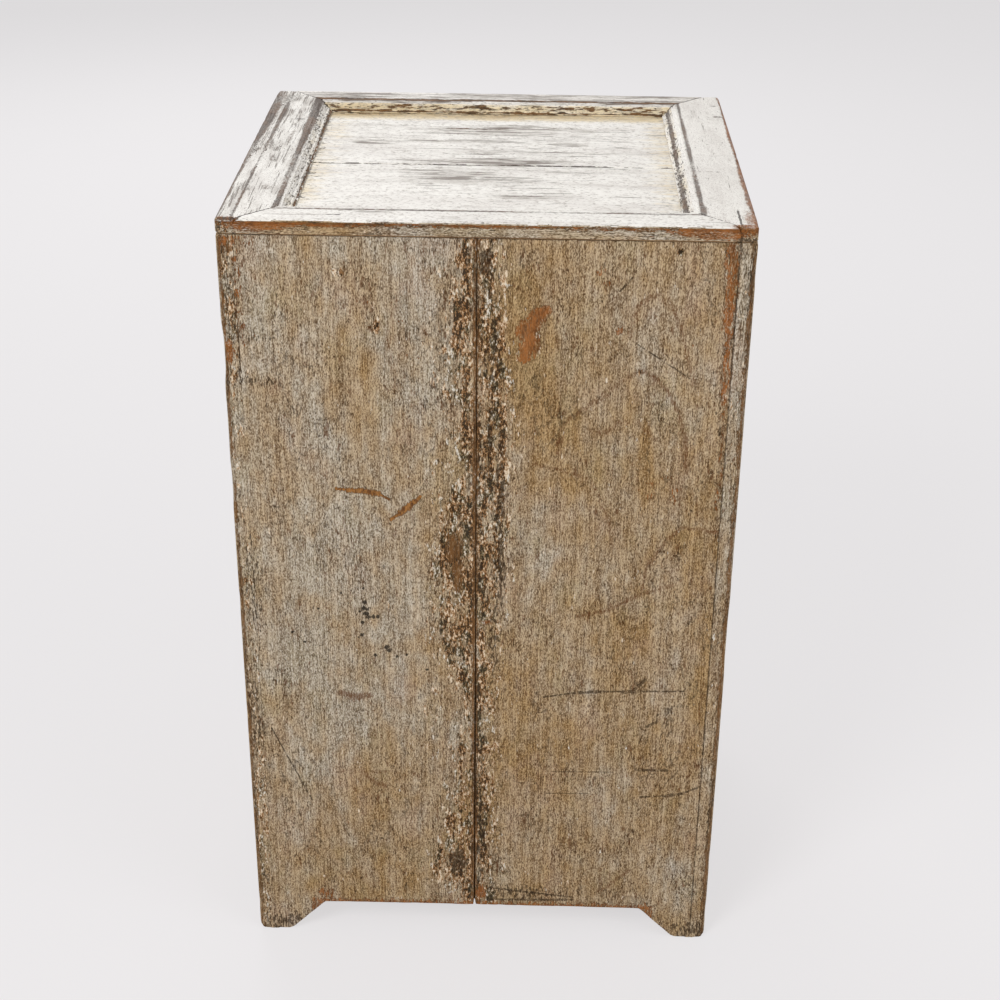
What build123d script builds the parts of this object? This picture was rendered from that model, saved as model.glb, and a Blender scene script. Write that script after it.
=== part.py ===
from build123d import *
import os

# Chest of four drawers: a plank carcase on bracket-cut feet, under a mitred and moulded frame with a
# floating panel. Millimetres, +Z up, drawers towards -Y. The origin is on the floor, at the middle of
# the carcase. Left and right are those of someone who faces the drawers.

# Overall size of the carcase
WIDTH = 420.0
DEPTH = 378.0
HEIGHT = 702.0

# Boards, and the play between them
BOARD = 14.0  # side boards, back planks and the members of the front
FIT = 0.15  # play on each face of a tenon, tongue or housing
SEAM_GAP = 1.2  # shrinkage gap between the two planks of a wall
TONGUE = 5.0  # thickness of a plank's tongue
TONGUE_REACH = 5.0
EDGE_ROUND = 2.5  # wear on the outer corners of top and walls
BACK_SEAM = 7.0  # seam of the back, to the right of the middle
SIDE_SEAM = 12.0  # seam of a side, behind the middle

# Bracket feet, left by a flat-topped cut in the lower edge of each wall
FOOT_WIDTH = 31.0
FOOT_SLOPE = 32.0
FOOT_CUT = 33.0
FOOT_ROUND = 4.0

# Top frame: edge, flat and moulding of a rail, from the outside inwards
LIP = 13.0  # edge that shows above the walls
RAIL_THICKNESS = 28.0
RAIL_FLAT = 27.0  # a side rail is wider by the board that it covers
BEAD_WIDTH = 7.0
BEAD_DROP = 2.2
QUIRK = 0.8  # small step between bead and bevel
BEVEL_WIDTH = 8.0
BEVEL_DROP = 5.0
BEVEL_FOOT = 1.0  # upright edge between bevel and panel
CORNER_TENON = 6.0
CORNER_TENON_COVER = 6.0  # wood left above a corner tenon

# Floating panel of the top, and the batten below it
PANEL = 9.0
PANEL_EDGE = 6.0  # thickness of the rebated edge in the groove
PANEL_REACH = 5.0  # how far that edge enters the groove
PANEL_PLAY = 1.0  # room for the panel to swell
PANEL_SEAM = 11.0  # seam of the panel, behind the middle
PANEL_TONGUE = 3.0
BATTEN_WIDTH = 26.0
BATTEN = 10.0
BATTEN_TENON = 5.0
BATTEN_TENON_DROP = 1.5  # shoulder above the batten's tenon
BATTEN_REACH = 8.0

# Front members and what carries the drawers
APRON_HEIGHT = 27.0  # above the foot cut
DIVIDER_HEIGHT = 16.0
DIVIDER_DEPTH = 30.0
STUB_REACH = 5.0  # stub tenons of the front members
STUB_SHOULDER = 4.0
KICKER = 7.0
RUNNER_WIDTH = 18.0
RUNNER_HEIGHT = 16.0
BOTTOM_BOARD = 8.0

# Drawers
DRAWER_COUNT = 4
DRAWER_SETBACK = 3.0  # drawer fronts behind the face of the carcase
DRAWER_SIDE_GAP = 0.8
DRAWER_TOP_GAP = 1.5
DRAWER_RUN_GAP = 0.3  # under the drawer and behind it
FRONT = 16.0
FRONT_ROUND = 1.5
SIDE = 10.0
SIDE_DROP = 7.0  # sides below the top of the front
BACK_DROP = 4.0  # back below the top of the sides
BACK_INSET = 6.0  # back ahead of the rear ends of the sides
HOUSING = 4.0  # depth of the sides' housings for the back
DRAWER_BOTTOM = 6.0
BOTTOM_RAISE = 7.0
BOTTOM_GROOVE = 5.0
TAIL_COUNT = 3
TAIL_LENGTH = 11.0
TAIL_WIDTH = 22.0  # at the shoulder
TAIL_FLARE = 1.8  # on each edge, over the length of the tail

# Ring pulls, of hammered wire whose flats show
PLATE_RADIUS = 19.0
PLATE = 1.2
PLATE_BEVEL_WIDTH = 1.5  # slope round the rim
BOSS_RADIUS = 7.0
BOSS_RISE = 0.6
WIRE_FLAT_COUNT = 8
EYE_WIRE = 1.1  # radius of the wire of the pin's eye
EYE_HOLE = 2.2  # radius of the eye's hole
EYE_FLAT_COUNT = 16
RING_RADIUS = 15.0  # to the middle of the ring's wire
RING_WIRE = 1.5
RING_FLAT_COUNT = 28
RING_GAP = 0.3  # between the hanging ring and its eye
PIN_RADIUS = 1.6
PIN_PLAY = 0.2
LEG_LENGTH = 14.0  # clenched legs of the pin, inside the drawer
LEG_WIDTH = 4.0
LEG = 1.4

# Planes that the pieces share
BEYOND = WIDTH + DEPTH + HEIGHT  # longer than any piece
OUTER_X = WIDTH / 2
OUTER_Y = DEPTH / 2
INNER_X = OUTER_X - BOARD
INNER_Y = OUTER_Y - BOARD
WALL_TOP = HEIGHT - LIP
MOULDING = BEAD_WIDTH + BEVEL_WIDTH
PANEL_RECESS = BEAD_DROP + QUIRK + BEVEL_DROP + BEVEL_FOOT
PANEL_TOP = HEIGHT - PANEL_RECESS - FIT
PANEL_UNDER = PANEL_TOP - PANEL
OPENING_X = INNER_X - RAIL_FLAT - MOULDING
OPENING_Y = OUTER_Y - RAIL_FLAT - MOULDING
RAIL_UNDER = HEIGHT - RAIL_THICKNESS
FRONT_TOP = RAIL_UNDER - KICKER
APRON_TOP = FOOT_CUT + APRON_HEIGHT
PITCH = (FRONT_TOP - APRON_TOP + DIVIDER_HEIGHT) / DRAWER_COUNT
CLEAR_HEIGHT = PITCH - DIVIDER_HEIGHT
DRAWER_FACE = -OUTER_Y + DRAWER_SETBACK
DRAWER_REAR = INNER_Y - DRAWER_RUN_GAP
DRAWER_X = INNER_X - DRAWER_SIDE_GAP
BOSS_TOP = PLATE + BOSS_RISE
EYE_RADIUS = EYE_HOLE + EYE_WIRE  # to the middle of the eye's wire
EYE_CENTRE = BOSS_TOP + EYE_RADIUS + EYE_WIRE + FIT  # in front of the drawer's face
RING_DROP = EYE_HOLE - RING_WIRE - RING_GAP  # of the ring's wire below the middle of the eye

nodes = {}


def block(x, y, z):
    """Board between the low and high limits on each axis."""
    limits = (x, y, z)
    middle = [(low + high) / 2 for low, high in limits]
    return Pos(*middle) * Box(*[high - low for low, high in limits])


def grown(limits, play):
    return limits[0] - play, limits[1] + play


def mirrored(solid):
    return mirror(solid, about=Plane.YZ)


def wall_outline(length):
    """Elevation of a whole wall, standing on two bracket feet."""
    half = length / 2
    foot = half - FOOT_WIDTH
    cut = foot - FOOT_SLOPE
    outline = Polyline(
        (-half, 0),
        (-foot, 0),
        (-cut, FOOT_CUT),
        (cut, FOOT_CUT),
        (foot, 0),
        (half, 0),
        (half, WALL_TOP),
        (-half, WALL_TOP),
        close=True,
    )
    wall = make_face(outline)
    worn = [corner for corner in wall.vertices() if abs(corner.X) <= foot + FIT]
    return fillet(worn, FOOT_ROUND)


def split_planks(wall, across, seam, tongue):
    """Two planks of a wall, tongued and grooved where they meet at seam on the axis across."""

    def slab(low, high, play, limits):
        sides = [grown(pair, play) for pair in limits]
        sides[across] = (low, high)
        return block(*sides)

    everywhere = [(-BEYOND, BEYOND)] * 3
    low_edge = seam - SEAM_GAP / 2
    high_edge = seam + SEAM_GAP / 2
    tip = high_edge + TONGUE_REACH
    low_plank = wall & slab(-BEYOND, low_edge, 0, everywhere)
    low_plank += slab(low_edge, tip, 0, tongue)
    high_plank = wall & slab(high_edge, BEYOND, 0, everywhere)
    high_plank -= slab(high_edge, tip + FIT, FIT, tongue)
    return low_plank, high_plank


# Top frame


def rail_section(flat):
    """Section of a rail: across from its outer face, and down from the top of the chest."""
    bead_end = flat + BEAD_WIDTH
    foot = flat + MOULDING
    quirk_top = -BEAD_DROP
    bevel_top = quirk_top - QUIRK
    bevel_low = bevel_top - BEVEL_DROP
    groove_low = -PANEL_RECESS - PANEL_EDGE - 2 * FIT
    groove_end = foot - PANEL_REACH - PANEL_PLAY
    outline = [
        Line((0, -LIP), (0, 0)),
        Line((0, 0), (flat, 0)),
        TangentArc((flat, 0), (bead_end, quirk_top), tangent=(1, 0)),
        Polyline(
            (bead_end, quirk_top),
            (bead_end, bevel_top),
            (foot, bevel_low),
            (foot, -PANEL_RECESS),
            (groove_end, -PANEL_RECESS),
            (groove_end, groove_low),
            (foot, groove_low),
            (foot, -RAIL_THICKNESS),
            (BOARD, -RAIL_THICKNESS),
            (BOARD, -LIP),
            (0, -LIP),
        ),
    ]
    return make_face(outline)


def mitred_plan(half_length, across):
    """Plan of a rail that is mitred at 45 degrees from its outer face inwards."""
    inner = half_length - across
    outline = Polyline(
        (-half_length, 0), (half_length, 0), (inner, across), (-inner, across), close=True
    )
    return make_face(outline)


def moulded_bar(flat, plan):
    """Rail with its outer face on Y = 0 and its top on Z = 0, cut to the plan."""
    bar = extrude(Plane.YZ * rail_section(flat), BEYOND / 2, both=True)
    return bar & extrude(plan, RAIL_THICKNESS, dir=(0, 0, -1))


def corner_tenons(play):
    """Tenons at both ends of a long rail, in that rail's own place at the front."""
    y = (-OUTER_Y + BOARD, -OUTER_Y + RAIL_FLAT)
    top = HEIGHT - CORNER_TENON_COVER
    z = (top - CORNER_TENON, top)
    x = (-INNER_X + FIT, INNER_X - FIT)
    return block(grown(x, play), grown(y, play), grown(z, play))


def batten_tenons(play):
    """Tenons at both ends of the batten, drawn as one bar through it."""
    reach = OPENING_Y + BATTEN_REACH
    top = PANEL_UNDER - BATTEN_TENON_DROP
    x = (-BATTEN_WIDTH / 2 + STUB_SHOULDER, BATTEN_WIDTH / 2 - STUB_SHOULDER)
    z = (top - BATTEN_TENON, top)
    return block(grown(x, play), (-reach - play, reach + play), grown(z, play))


def top_frame():
    envelope = block((-OUTER_X, OUTER_X), (-OUTER_Y, OUTER_Y), (RAIL_UNDER, HEIGHT))
    corners = envelope.edges().filter_by(Axis.Z) + envelope.faces().sort_by(Axis.Z)[-1].edges()
    envelope = fillet(corners, EDGE_ROUND)

    long_plan = mitred_plan(INNER_X, RAIL_FLAT + MOULDING)
    long_bar = moulded_bar(RAIL_FLAT, long_plan)
    front = (Pos(0, -OUTER_Y, HEIGHT) * long_bar) & envelope
    front += corner_tenons(0)
    front -= batten_tenons(FIT)
    nodes["top_rail_front"] = front
    nodes["top_rail_back"] = Rot(0, 0, 180) * front

    over_board = Rectangle(DEPTH, BOARD, align=(Align.CENTER, Align.MIN))
    side_plan = over_board + Pos(0, BOARD, 0) * mitred_plan(OUTER_Y, RAIL_FLAT + MOULDING)
    side_bar = moulded_bar(BOARD + RAIL_FLAT, side_plan)
    for end in (-1, 1):
        wall_seat = sorted((end * INNER_Y, end * BEYOND))
        side_bar -= block(wall_seat, (-BEYOND, BEYOND), (-RAIL_THICKNESS, -LIP))
    right = (Pos(OUTER_X, 0, HEIGHT) * Rot(0, 0, 90) * side_bar) & envelope
    right -= corner_tenons(FIT)
    right -= Rot(0, 0, 180) * corner_tenons(FIT)
    nodes["top_rail_right"] = right
    nodes["top_rail_left"] = mirrored(right)


def top_panel():
    reach_x = OPENING_X + PANEL_REACH
    reach_y = OPENING_Y + PANEL_REACH
    body_x = OPENING_X - PANEL_PLAY
    body_y = OPENING_Y - PANEL_PLAY
    edge_low = PANEL_TOP - PANEL_EDGE
    panel = block((-reach_x, reach_x), (-reach_y, reach_y), (edge_low, PANEL_TOP))
    panel += block((-body_x, body_x), (-body_y, body_y), (PANEL_UNDER, edge_low))
    tongue_low = (edge_low + PANEL_TOP - PANEL_TONGUE) / 2
    tongue = [(-body_x, body_x), (0, 0), (tongue_low, tongue_low + PANEL_TONGUE)]
    boards = split_planks(panel, 1, PANEL_SEAM, tongue)
    nodes["top_panel_front"], nodes["top_panel_back"] = boards

    bar_x = (-BATTEN_WIDTH / 2, BATTEN_WIDTH / 2)
    shoulder = OPENING_Y - FIT
    batten = block(bar_x, (-shoulder, shoulder), (PANEL_UNDER - BATTEN, PANEL_UNDER))
    nodes["top_batten"] = batten + batten_tenons(-FIT)


# Walls


def wall_tongue():
    """Limits across a wall's thickness of a tongue in the middle of it."""
    return (BOARD - TONGUE) / 2, (BOARD + TONGUE) / 2


def back_wall():
    thickness = [OUTER_Y - depth for depth in reversed(wall_tongue())]
    height = (FOOT_CUT + FOOT_ROUND, WALL_TOP)
    wall = Pos(0, OUTER_Y, 0) * extrude(Plane.XZ * wall_outline(WIDTH), BOARD)
    wall &= block((-INNER_X, INNER_X), (-BEYOND, BEYOND), (-BEYOND, BEYOND))
    edge = INNER_X + TONGUE_REACH
    for side in (-1, 1):
        wall += block(sorted((side * INNER_X, side * edge)), thickness, height)
    planks = split_planks(wall, 0, BACK_SEAM, [(0, 0), thickness, height])
    nodes["back_plank_left"], nodes["back_plank_right"] = planks


def back_groove():
    """Groove in the right side board for the edge of the back."""
    thickness = [OUTER_Y - depth for depth in reversed(wall_tongue())]
    x = (INNER_X, INNER_X + TONGUE_REACH + FIT)
    return block(x, grown(thickness, FIT), (FOOT_CUT + FOOT_ROUND - FIT, BEYOND))


def stub_tenon(y, z, play):
    """Tenon on the right end of a front member that fills y and z."""
    x = (INNER_X, INNER_X + STUB_REACH + play)
    tenon_y = grown(y, play - STUB_SHOULDER)
    tenon_z = grown(z, play - STUB_SHOULDER)
    return block(x, tenon_y, tenon_z)


def floor_of(row):
    """Height of the floor that drawer row slides on, counting rows from the top."""
    return APRON_TOP + (DRAWER_COUNT - row) * PITCH


def front_members():
    """Name and Y and Z limits of each member between the side boards at the front."""
    skin = (-OUTER_Y, -INNER_Y)
    members = {"front_rail_top": (skin, (FRONT_TOP, WALL_TOP))}
    for row in range(1, DRAWER_COUNT):
        floor = floor_of(row)
        deep = (-OUTER_Y, -OUTER_Y + DIVIDER_DEPTH)
        members[f"divider_{row}"] = (deep, (floor - DIVIDER_HEIGHT, floor))
    members["front_apron"] = (skin, (FOOT_CUT, APRON_TOP))
    return members


def side_walls():
    right = Pos(INNER_X, 0, 0) * extrude(Plane.YZ * wall_outline(DEPTH), BOARD)
    corners = right.edges().filter_by(Axis.Z).group_by(Axis.X)[-1]
    right = fillet(corners, EDGE_ROUND)
    right -= back_groove()
    for y, z in front_members().values():
        right -= stub_tenon(y, z, FIT)
    thickness = [INNER_X + depth for depth in wall_tongue()]
    tongue = [thickness, (0, 0), (FOOT_CUT + FOOT_ROUND, WALL_TOP)]
    planks = split_planks(right, 1, SIDE_SEAM, tongue)
    nodes["side_right_front"], nodes["side_right_back"] = planks
    nodes["side_left_front"], nodes["side_left_back"] = [mirrored(plank) for plank in planks]


def front_frame():
    whole_width = (-INNER_X, INNER_X)
    for name, (y, z) in front_members().items():
        member = block(whole_width, y, z)
        if name == "front_apron":
            wall = Pos(0, -INNER_Y, 0) * extrude(Plane.XZ * wall_outline(WIDTH), BOARD)
            member = wall & block(whole_width, y, (-BEYOND, APRON_TOP))
        tenon = stub_tenon(y, z, 0)
        nodes[name] = member + tenon + mirrored(tenon)


def drawer_supports():
    members = front_members()
    runners = []
    for row in range(1, DRAWER_COUNT + 1):
        floor = floor_of(row)
        carrier = "front_apron" if row == DRAWER_COUNT else f"divider_{row}"
        front_end = members[carrier][0][1]
        x = (INNER_X - RUNNER_WIDTH, INNER_X)
        runners.append(block(x, (front_end, INNER_Y), (floor - RUNNER_HEIGHT, floor)))
    nodes["runners_right"] = Compound(children=runners)
    nodes["runners_left"] = Compound(children=[mirrored(runner) for runner in runners])

    kicker_x = (INNER_X - RUNNER_WIDTH, INNER_X)
    kicker = block(kicker_x, (-INNER_Y, INNER_Y), (FRONT_TOP, RAIL_UNDER))
    nodes["kickers"] = Compound(children=[kicker, mirrored(kicker)])

    top = APRON_TOP - RUNNER_HEIGHT
    board = block((-INNER_X, INNER_X), (-INNER_Y, INNER_Y), (top - BOTTOM_BOARD, top))
    nodes["bottom_board"] = board


# Drawers


def dovetails(base, height, play):
    """Tails on the front end of the right drawer side, with play on the edges and tip."""
    shoulder = DRAWER_FACE + FRONT
    tip = shoulder - TAIL_LENGTH
    pitch = height / TAIL_COUNT
    near = TAIL_WIDTH / 2 + play
    far = near + TAIL_FLARE
    outline = Polyline(
        (shoulder, -near), (shoulder, near), (tip - play, far), (tip - play, -far), close=True
    )
    plan = extrude(Plane.YZ * make_face(outline), SIDE + play)
    inner = DRAWER_X - SIDE - play
    centres = [base + pitch * (count + 0.5) for count in range(TAIL_COUNT)]
    return [Pos(inner, 0, centre) * plan for centre in centres]


def wire_loop(radius, wire, flat_count):
    """Closed loop of hammered wire, lying flat round the origin."""
    path = RegularPolygon(radius, flat_count).wire()
    across = Plane(origin=path @ 0, z_dir=path % 0)
    return sweep(across * RegularPolygon(wire, WIRE_FLAT_COUNT), path=path, transition=Transition.RIGHT)


def pull(row, middle):
    """Plate, split pin and hanging ring on a drawer front, worked out flat and then stood up."""
    place = Pos(0, DRAWER_FACE, middle) * Rot(90, 0, 0)
    hole = PIN_RADIUS + PIN_PLAY
    profile = Polyline(
        (hole, 0),
        (PLATE_RADIUS, 0),
        (PLATE_RADIUS - PLATE_BEVEL_WIDTH, PLATE),
        (BOSS_RADIUS + BOSS_RISE, PLATE),
        (BOSS_RADIUS, BOSS_TOP),
        (hole, BOSS_TOP),
        close=True,
    )
    plate = revolve(Plane.XZ * make_face(profile), Axis.Z)
    nodes[f"drawer_{row}_pull_plate"] = place * plate

    eye = Pos(0, 0, EYE_CENTRE) * Rot(0, 90, 0) * wire_loop(EYE_RADIUS, EYE_WIRE, EYE_FLAT_COUNT)
    shank_low = -FRONT - LEG
    shank_length = EYE_CENTRE - EYE_RADIUS - shank_low
    upright = (Align.CENTER, Align.CENTER, Align.MIN)
    shank = Pos(0, 0, shank_low) * Cylinder(PIN_RADIUS, shank_length, align=upright)
    leg_plan = Rot(0, 0, 90) * SlotOverall(2 * LEG_LENGTH, LEG_WIDTH)
    legs = Pos(0, 0, shank_low) * extrude(leg_plan, LEG)
    nodes[f"drawer_{row}_pull_pin"] = place * (eye + shank + legs)

    ring = wire_loop(RING_RADIUS, RING_WIRE, RING_FLAT_COUNT)
    hanging = Pos(0, -RING_DROP - RING_RADIUS, EYE_CENTRE) * ring
    nodes[f"drawer_{row}_pull_ring"] = place * hanging


def drawer(row):
    base = floor_of(row) + DRAWER_RUN_GAP
    front_top = floor_of(row) + CLEAR_HEIGHT - DRAWER_TOP_GAP
    side_top = front_top - SIDE_DROP
    shoulder = DRAWER_FACE + FRONT
    middle = (base + front_top) / 2
    panel_z = (base + BOTTOM_RAISE, base + BOTTOM_RAISE + DRAWER_BOTTOM)
    inner_x = DRAWER_X - SIDE
    groove_x = inner_x + BOTTOM_GROOVE
    back_y = (DRAWER_REAR - BACK_INSET - SIDE, DRAWER_REAR - BACK_INSET)

    front = block((-DRAWER_X, DRAWER_X), (DRAWER_FACE, shoulder), (base, front_top))
    front = fillet(front.faces().sort_by(Axis.Y)[0].edges(), FRONT_ROUND)
    for socket in dovetails(base, side_top - base, FIT):
        front -= [socket, mirrored(socket)]
    groove_y = (shoulder - BOTTOM_GROOVE - FIT, shoulder)
    front -= block((-groove_x - FIT, groove_x + FIT), groove_y, grown(panel_z, FIT))
    hole = Cylinder(PIN_RADIUS + PIN_PLAY, BEYOND)
    front -= Pos(0, 0, middle) * Rot(90, 0, 0) * hole
    nodes[f"drawer_{row}_front"] = front

    side = block((inner_x, DRAWER_X), (shoulder, DRAWER_REAR), (base, side_top))
    side += dovetails(base, side_top - base, 0)
    side -= block((inner_x, groove_x + FIT), (-BEYOND, BEYOND), grown(panel_z, FIT))
    housing_z = (panel_z[1], BEYOND)
    side -= block((inner_x, inner_x + HOUSING + FIT), grown(back_y, FIT), housing_z)
    nodes[f"drawer_{row}_side_right"] = side
    nodes[f"drawer_{row}_side_left"] = mirrored(side)

    back_x = inner_x + HOUSING
    back_z = (panel_z[1] + FIT, side_top - BACK_DROP)
    nodes[f"drawer_{row}_back"] = block((-back_x, back_x), back_y, back_z)
    bottom_y = (shoulder - BOTTOM_GROOVE, back_y[1])
    nodes[f"drawer_{row}_bottom"] = block((-groove_x, groove_x), bottom_y, panel_z)
    pull(row, middle)


top_frame()
top_panel()
back_wall()
side_walls()
front_frame()
drawer_supports()
for drawer_row in range(1, DRAWER_COUNT + 1):
    drawer(drawer_row)

os.makedirs("parts", exist_ok=True)
for node, solid in nodes.items():
    export_step(solid, f"parts/{node}.step")
print(len(nodes), "nodes")
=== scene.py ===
import math

import bpy
import numpy as np
from mathutils import Matrix, Vector


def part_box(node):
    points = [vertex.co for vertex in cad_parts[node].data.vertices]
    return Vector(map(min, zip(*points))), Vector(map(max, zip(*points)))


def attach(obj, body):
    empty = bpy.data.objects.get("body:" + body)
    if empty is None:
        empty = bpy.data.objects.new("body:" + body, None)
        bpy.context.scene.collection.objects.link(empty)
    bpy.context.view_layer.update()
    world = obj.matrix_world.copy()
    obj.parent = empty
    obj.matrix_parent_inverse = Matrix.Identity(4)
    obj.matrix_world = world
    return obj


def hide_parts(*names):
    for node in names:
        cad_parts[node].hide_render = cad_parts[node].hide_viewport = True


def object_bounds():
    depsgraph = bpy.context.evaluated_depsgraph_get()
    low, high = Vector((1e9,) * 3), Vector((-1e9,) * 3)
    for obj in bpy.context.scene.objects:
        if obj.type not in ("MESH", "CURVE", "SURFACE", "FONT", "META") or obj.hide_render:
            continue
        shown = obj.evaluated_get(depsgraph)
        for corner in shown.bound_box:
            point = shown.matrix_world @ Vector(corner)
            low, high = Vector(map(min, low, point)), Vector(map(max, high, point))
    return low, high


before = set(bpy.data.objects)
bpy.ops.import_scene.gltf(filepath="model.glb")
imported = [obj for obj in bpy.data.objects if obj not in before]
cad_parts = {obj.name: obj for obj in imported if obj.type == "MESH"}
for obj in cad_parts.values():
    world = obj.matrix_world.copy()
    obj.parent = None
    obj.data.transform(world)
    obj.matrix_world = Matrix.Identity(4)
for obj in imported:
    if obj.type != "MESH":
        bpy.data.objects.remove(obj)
cad_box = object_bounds()

# Old painted chest of four drawers, photographed from behind and above.
# Metres, +Z up, drawers towards -Y, photographed back towards +Y.

MM = 0.001

# Planes of the chest, taken from its solids
SIDE_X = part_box("side_right_back")[1].x
BACK_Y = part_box("back_plank_left")[1].y
FRONT_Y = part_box("side_right_front")[0].y
TOP_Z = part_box("top_rail_back")[1].z
BOARD = SIDE_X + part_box("runners_left")[0].x
INNER_X = SIDE_X - BOARD
BACK_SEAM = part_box("back_plank_right")[0].x
SIDE_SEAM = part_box("side_right_back")[0].y
OPENING_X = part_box("top_rail_right")[0].x
OPENING_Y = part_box("top_rail_back")[0].y
PANEL_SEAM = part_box("top_panel_back")[0].y

# Sizes of the cells that the weathered boards are made of
BACK_CELL = 2.0 * MM
SIDE_CELL = 2.5 * MM
RAIL_CELL = 1.25 * MM
PANEL_CELL = 1.8 * MM
FRONT_CELL = 2.2 * MM


def srgb(red, green, blue):
    """Colour as a screen shows it, 0 to 255, turned into the linear colour that a shader takes."""

    def linear(level):
        share = level / 255
        return share / 12.92 if share <= 0.04045 else ((share + 0.055) / 1.055) ** 2.4

    return linear(red), linear(green), linear(blue), 1.0


# Colours of paint and wood. The grey-beige wall colours sit darker than the white top colours for two
# reasons. Partly the wall paint is dirtier and the top paint bleached. Partly this is painted light and
# shade: the wall colours hold painted shade of upright faces turned from a light above, and the top colours
# the light that falls on its upper face.
WALL_COOL = srgb(171, 157, 134)
WALL_BEIGE = srgb(163, 140, 109)
WALL_OCHRE = srgb(147, 115, 71)
PALE_COOL = srgb(217, 207, 190)
PALE_BEIGE = srgb(210, 189, 158)
PALE_OCHRE = srgb(200, 170, 126)
DARK_COOL = srgb(78, 58, 34)
DARK_BEIGE = srgb(76, 48, 20)
DARK_OCHRE = srgb(76, 47, 16)
WALL_PINK = srgb(168, 140, 118)
WALL_OLIVE = srgb(150, 136, 98)
FLAKE_CREAM = srgb(228, 210, 184)
FLAKE_WHITE = srgb(228, 222, 210)
CRUMB_PALE = srgb(196, 166, 130)
CRUMB_GREY = srgb(180, 168, 148)
CRUMB_TAN = srgb(160, 118, 76)
CRUMB_OLIVE = srgb(132, 116, 86)
# Top colours: white partly from bleached paint and partly painted light, as lit from above against the
# painted shade of the walls
TOP_WHITE = srgb(250, 247, 240)
TOP_COOL = srgb(230, 225, 218)
TOP_SHADE = srgb(166, 156, 145)
TOP_CREAM = srgb(234, 212, 164)
TOP_OCHRE = srgb(178, 146, 96)
STREAK_GREY = srgb(98, 84, 70)
STRIPE_GREY = srgb(102, 92, 86)
STRIPE_BROWN = srgb(116, 93, 77)
SPECK_DARK = srgb(64, 48, 32)
CHIP_TAN = srgb(168, 116, 60)
WOOD_ORANGE = srgb(156, 96, 46)
WOOD_RUST = srgb(94, 55, 24)
WOOD_BROWN = srgb(122, 84, 46)
WOOD_OLIVE = srgb(92, 76, 48)
WOOD_DARK = srgb(46, 31, 15)
WOOD_BLACK = srgb(40, 34, 21)
SOOT = srgb(36, 29, 20)
DUST = srgb(150, 134, 110)
BARE_PALE = srgb(176, 138, 92)
BARE_DARK = srgb(122, 86, 50)
BRASS_BRIGHT = srgb(182, 148, 88)
BRASS_DULL = srgb(98, 74, 42)
VERDIGRIS = srgb(92, 102, 78)
STUDIO_PALE = srgb(238, 236, 237)


# Shader trees


class Value:
    """Output of a node in a recipe. Arithmetic on it adds nodes to that recipe."""

    def __init__(self, recipe, socket):
        self.recipe = recipe
        self.socket = socket

    def __add__(self, other):
        return self.recipe.math("ADD", self, other)

    def __sub__(self, other):
        return self.recipe.math("SUBTRACT", self, other)

    def __rsub__(self, other):
        return self.recipe.math("SUBTRACT", other, self)

    def __mul__(self, other):
        return self.recipe.math("MULTIPLY", self, other)

    def __truediv__(self, other):
        return self.recipe.math("DIVIDE", self, other)

    def __or__(self, other):
        return self.recipe.math("MAXIMUM", self, other)

    def rise(self, low, high):
        """Smooth rise from 0 to 1 while the value goes from low to high."""
        inputs = {"Value": self, "From Min": low, "From Max": high}
        return self.recipe.made("ShaderNodeMapRange", inputs, interpolation_type="SMOOTHSTEP")


class Recipe:
    """Tree of a finish, or of an effect that finishes share. An input is a constant or a value."""

    def __init__(self, tree):
        self.tree = tree

    def feed(self, sockets, inputs):
        for name, value in inputs.items():
            if isinstance(value, Value):
                self.tree.links.new(value.socket, sockets[name])
            else:
                sockets[name].default_value = value

    def add(self, kind, inputs, **settings):
        node = self.tree.nodes.new(kind)
        for name, value in settings.items():
            setattr(node, name, value)
        self.feed(node.inputs, inputs)
        return node

    def made(self, kind, inputs, output=0, **settings):
        """Value that a new node gives."""
        return Value(self, self.add(kind, inputs, **settings).outputs[output])

    def all_made(self, kind, inputs, **settings):
        """Values that a new node gives, by name."""
        node = self.add(kind, inputs, **settings)
        return {output.name: Value(self, output) for output in node.outputs}

    def effect(self, group, **inputs):
        return self.all_made("ShaderNodeGroup", inputs, node_tree=group)

    def math(self, operation, first, second=0.0):
        return self.made("ShaderNodeMath", {0: first, 1: second}, operation=operation)

    def vectors(self, operation, first, second, output="Vector"):
        return self.made("ShaderNodeVectorMath", {0: first, 1: second}, output, operation=operation)

    def noise(self, place, scale, detail=2.0, roughness=0.5):
        inputs = {"Vector": place, "Scale": scale, "Detail": detail, "Roughness": roughness}
        return self.made("ShaderNodeTexNoise", inputs)

    def laid(self, mask, under, over):
        """Colour over, laid on the colour under where the mask is 1."""
        return self.made("ShaderNodeMix", {0: mask, 6: under, 7: over}, 2, data_type="RGBA")

    def ramp(self, value, stops):
        """Colour that runs through the stops, each a place from 0 to 1 and a colour, as the value rises."""
        node = self.add("ShaderNodeValToRGB", {0: value})
        elements = node.color_ramp.elements
        for _ in stops[2:]:
            elements.new(0.5)
        for element, (place, colour) in zip(elements, stops):
            element.position = place
            element.color = colour
        return Value(self, node.outputs["Color"])


def new_effect(name, inputs, outputs):
    """Recipe of a node group with those sockets, and the values that it is given."""
    group = bpy.data.node_groups.new(name, "ShaderNodeTree")
    for way, sockets in (("INPUT", inputs), ("OUTPUT", outputs)):
        for socket, kind in sockets.items():
            group.interface.new_socket(socket, in_out=way, socket_type="NodeSocket" + kind)
    recipe = Recipe(group)
    return recipe, recipe.all_made("NodeGroupInput", {})


def handing_on(recipe, **results):
    """Node group of the recipe, with the results that it hands on."""
    recipe.add("NodeGroupOutput", results)
    return recipe.tree


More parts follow.
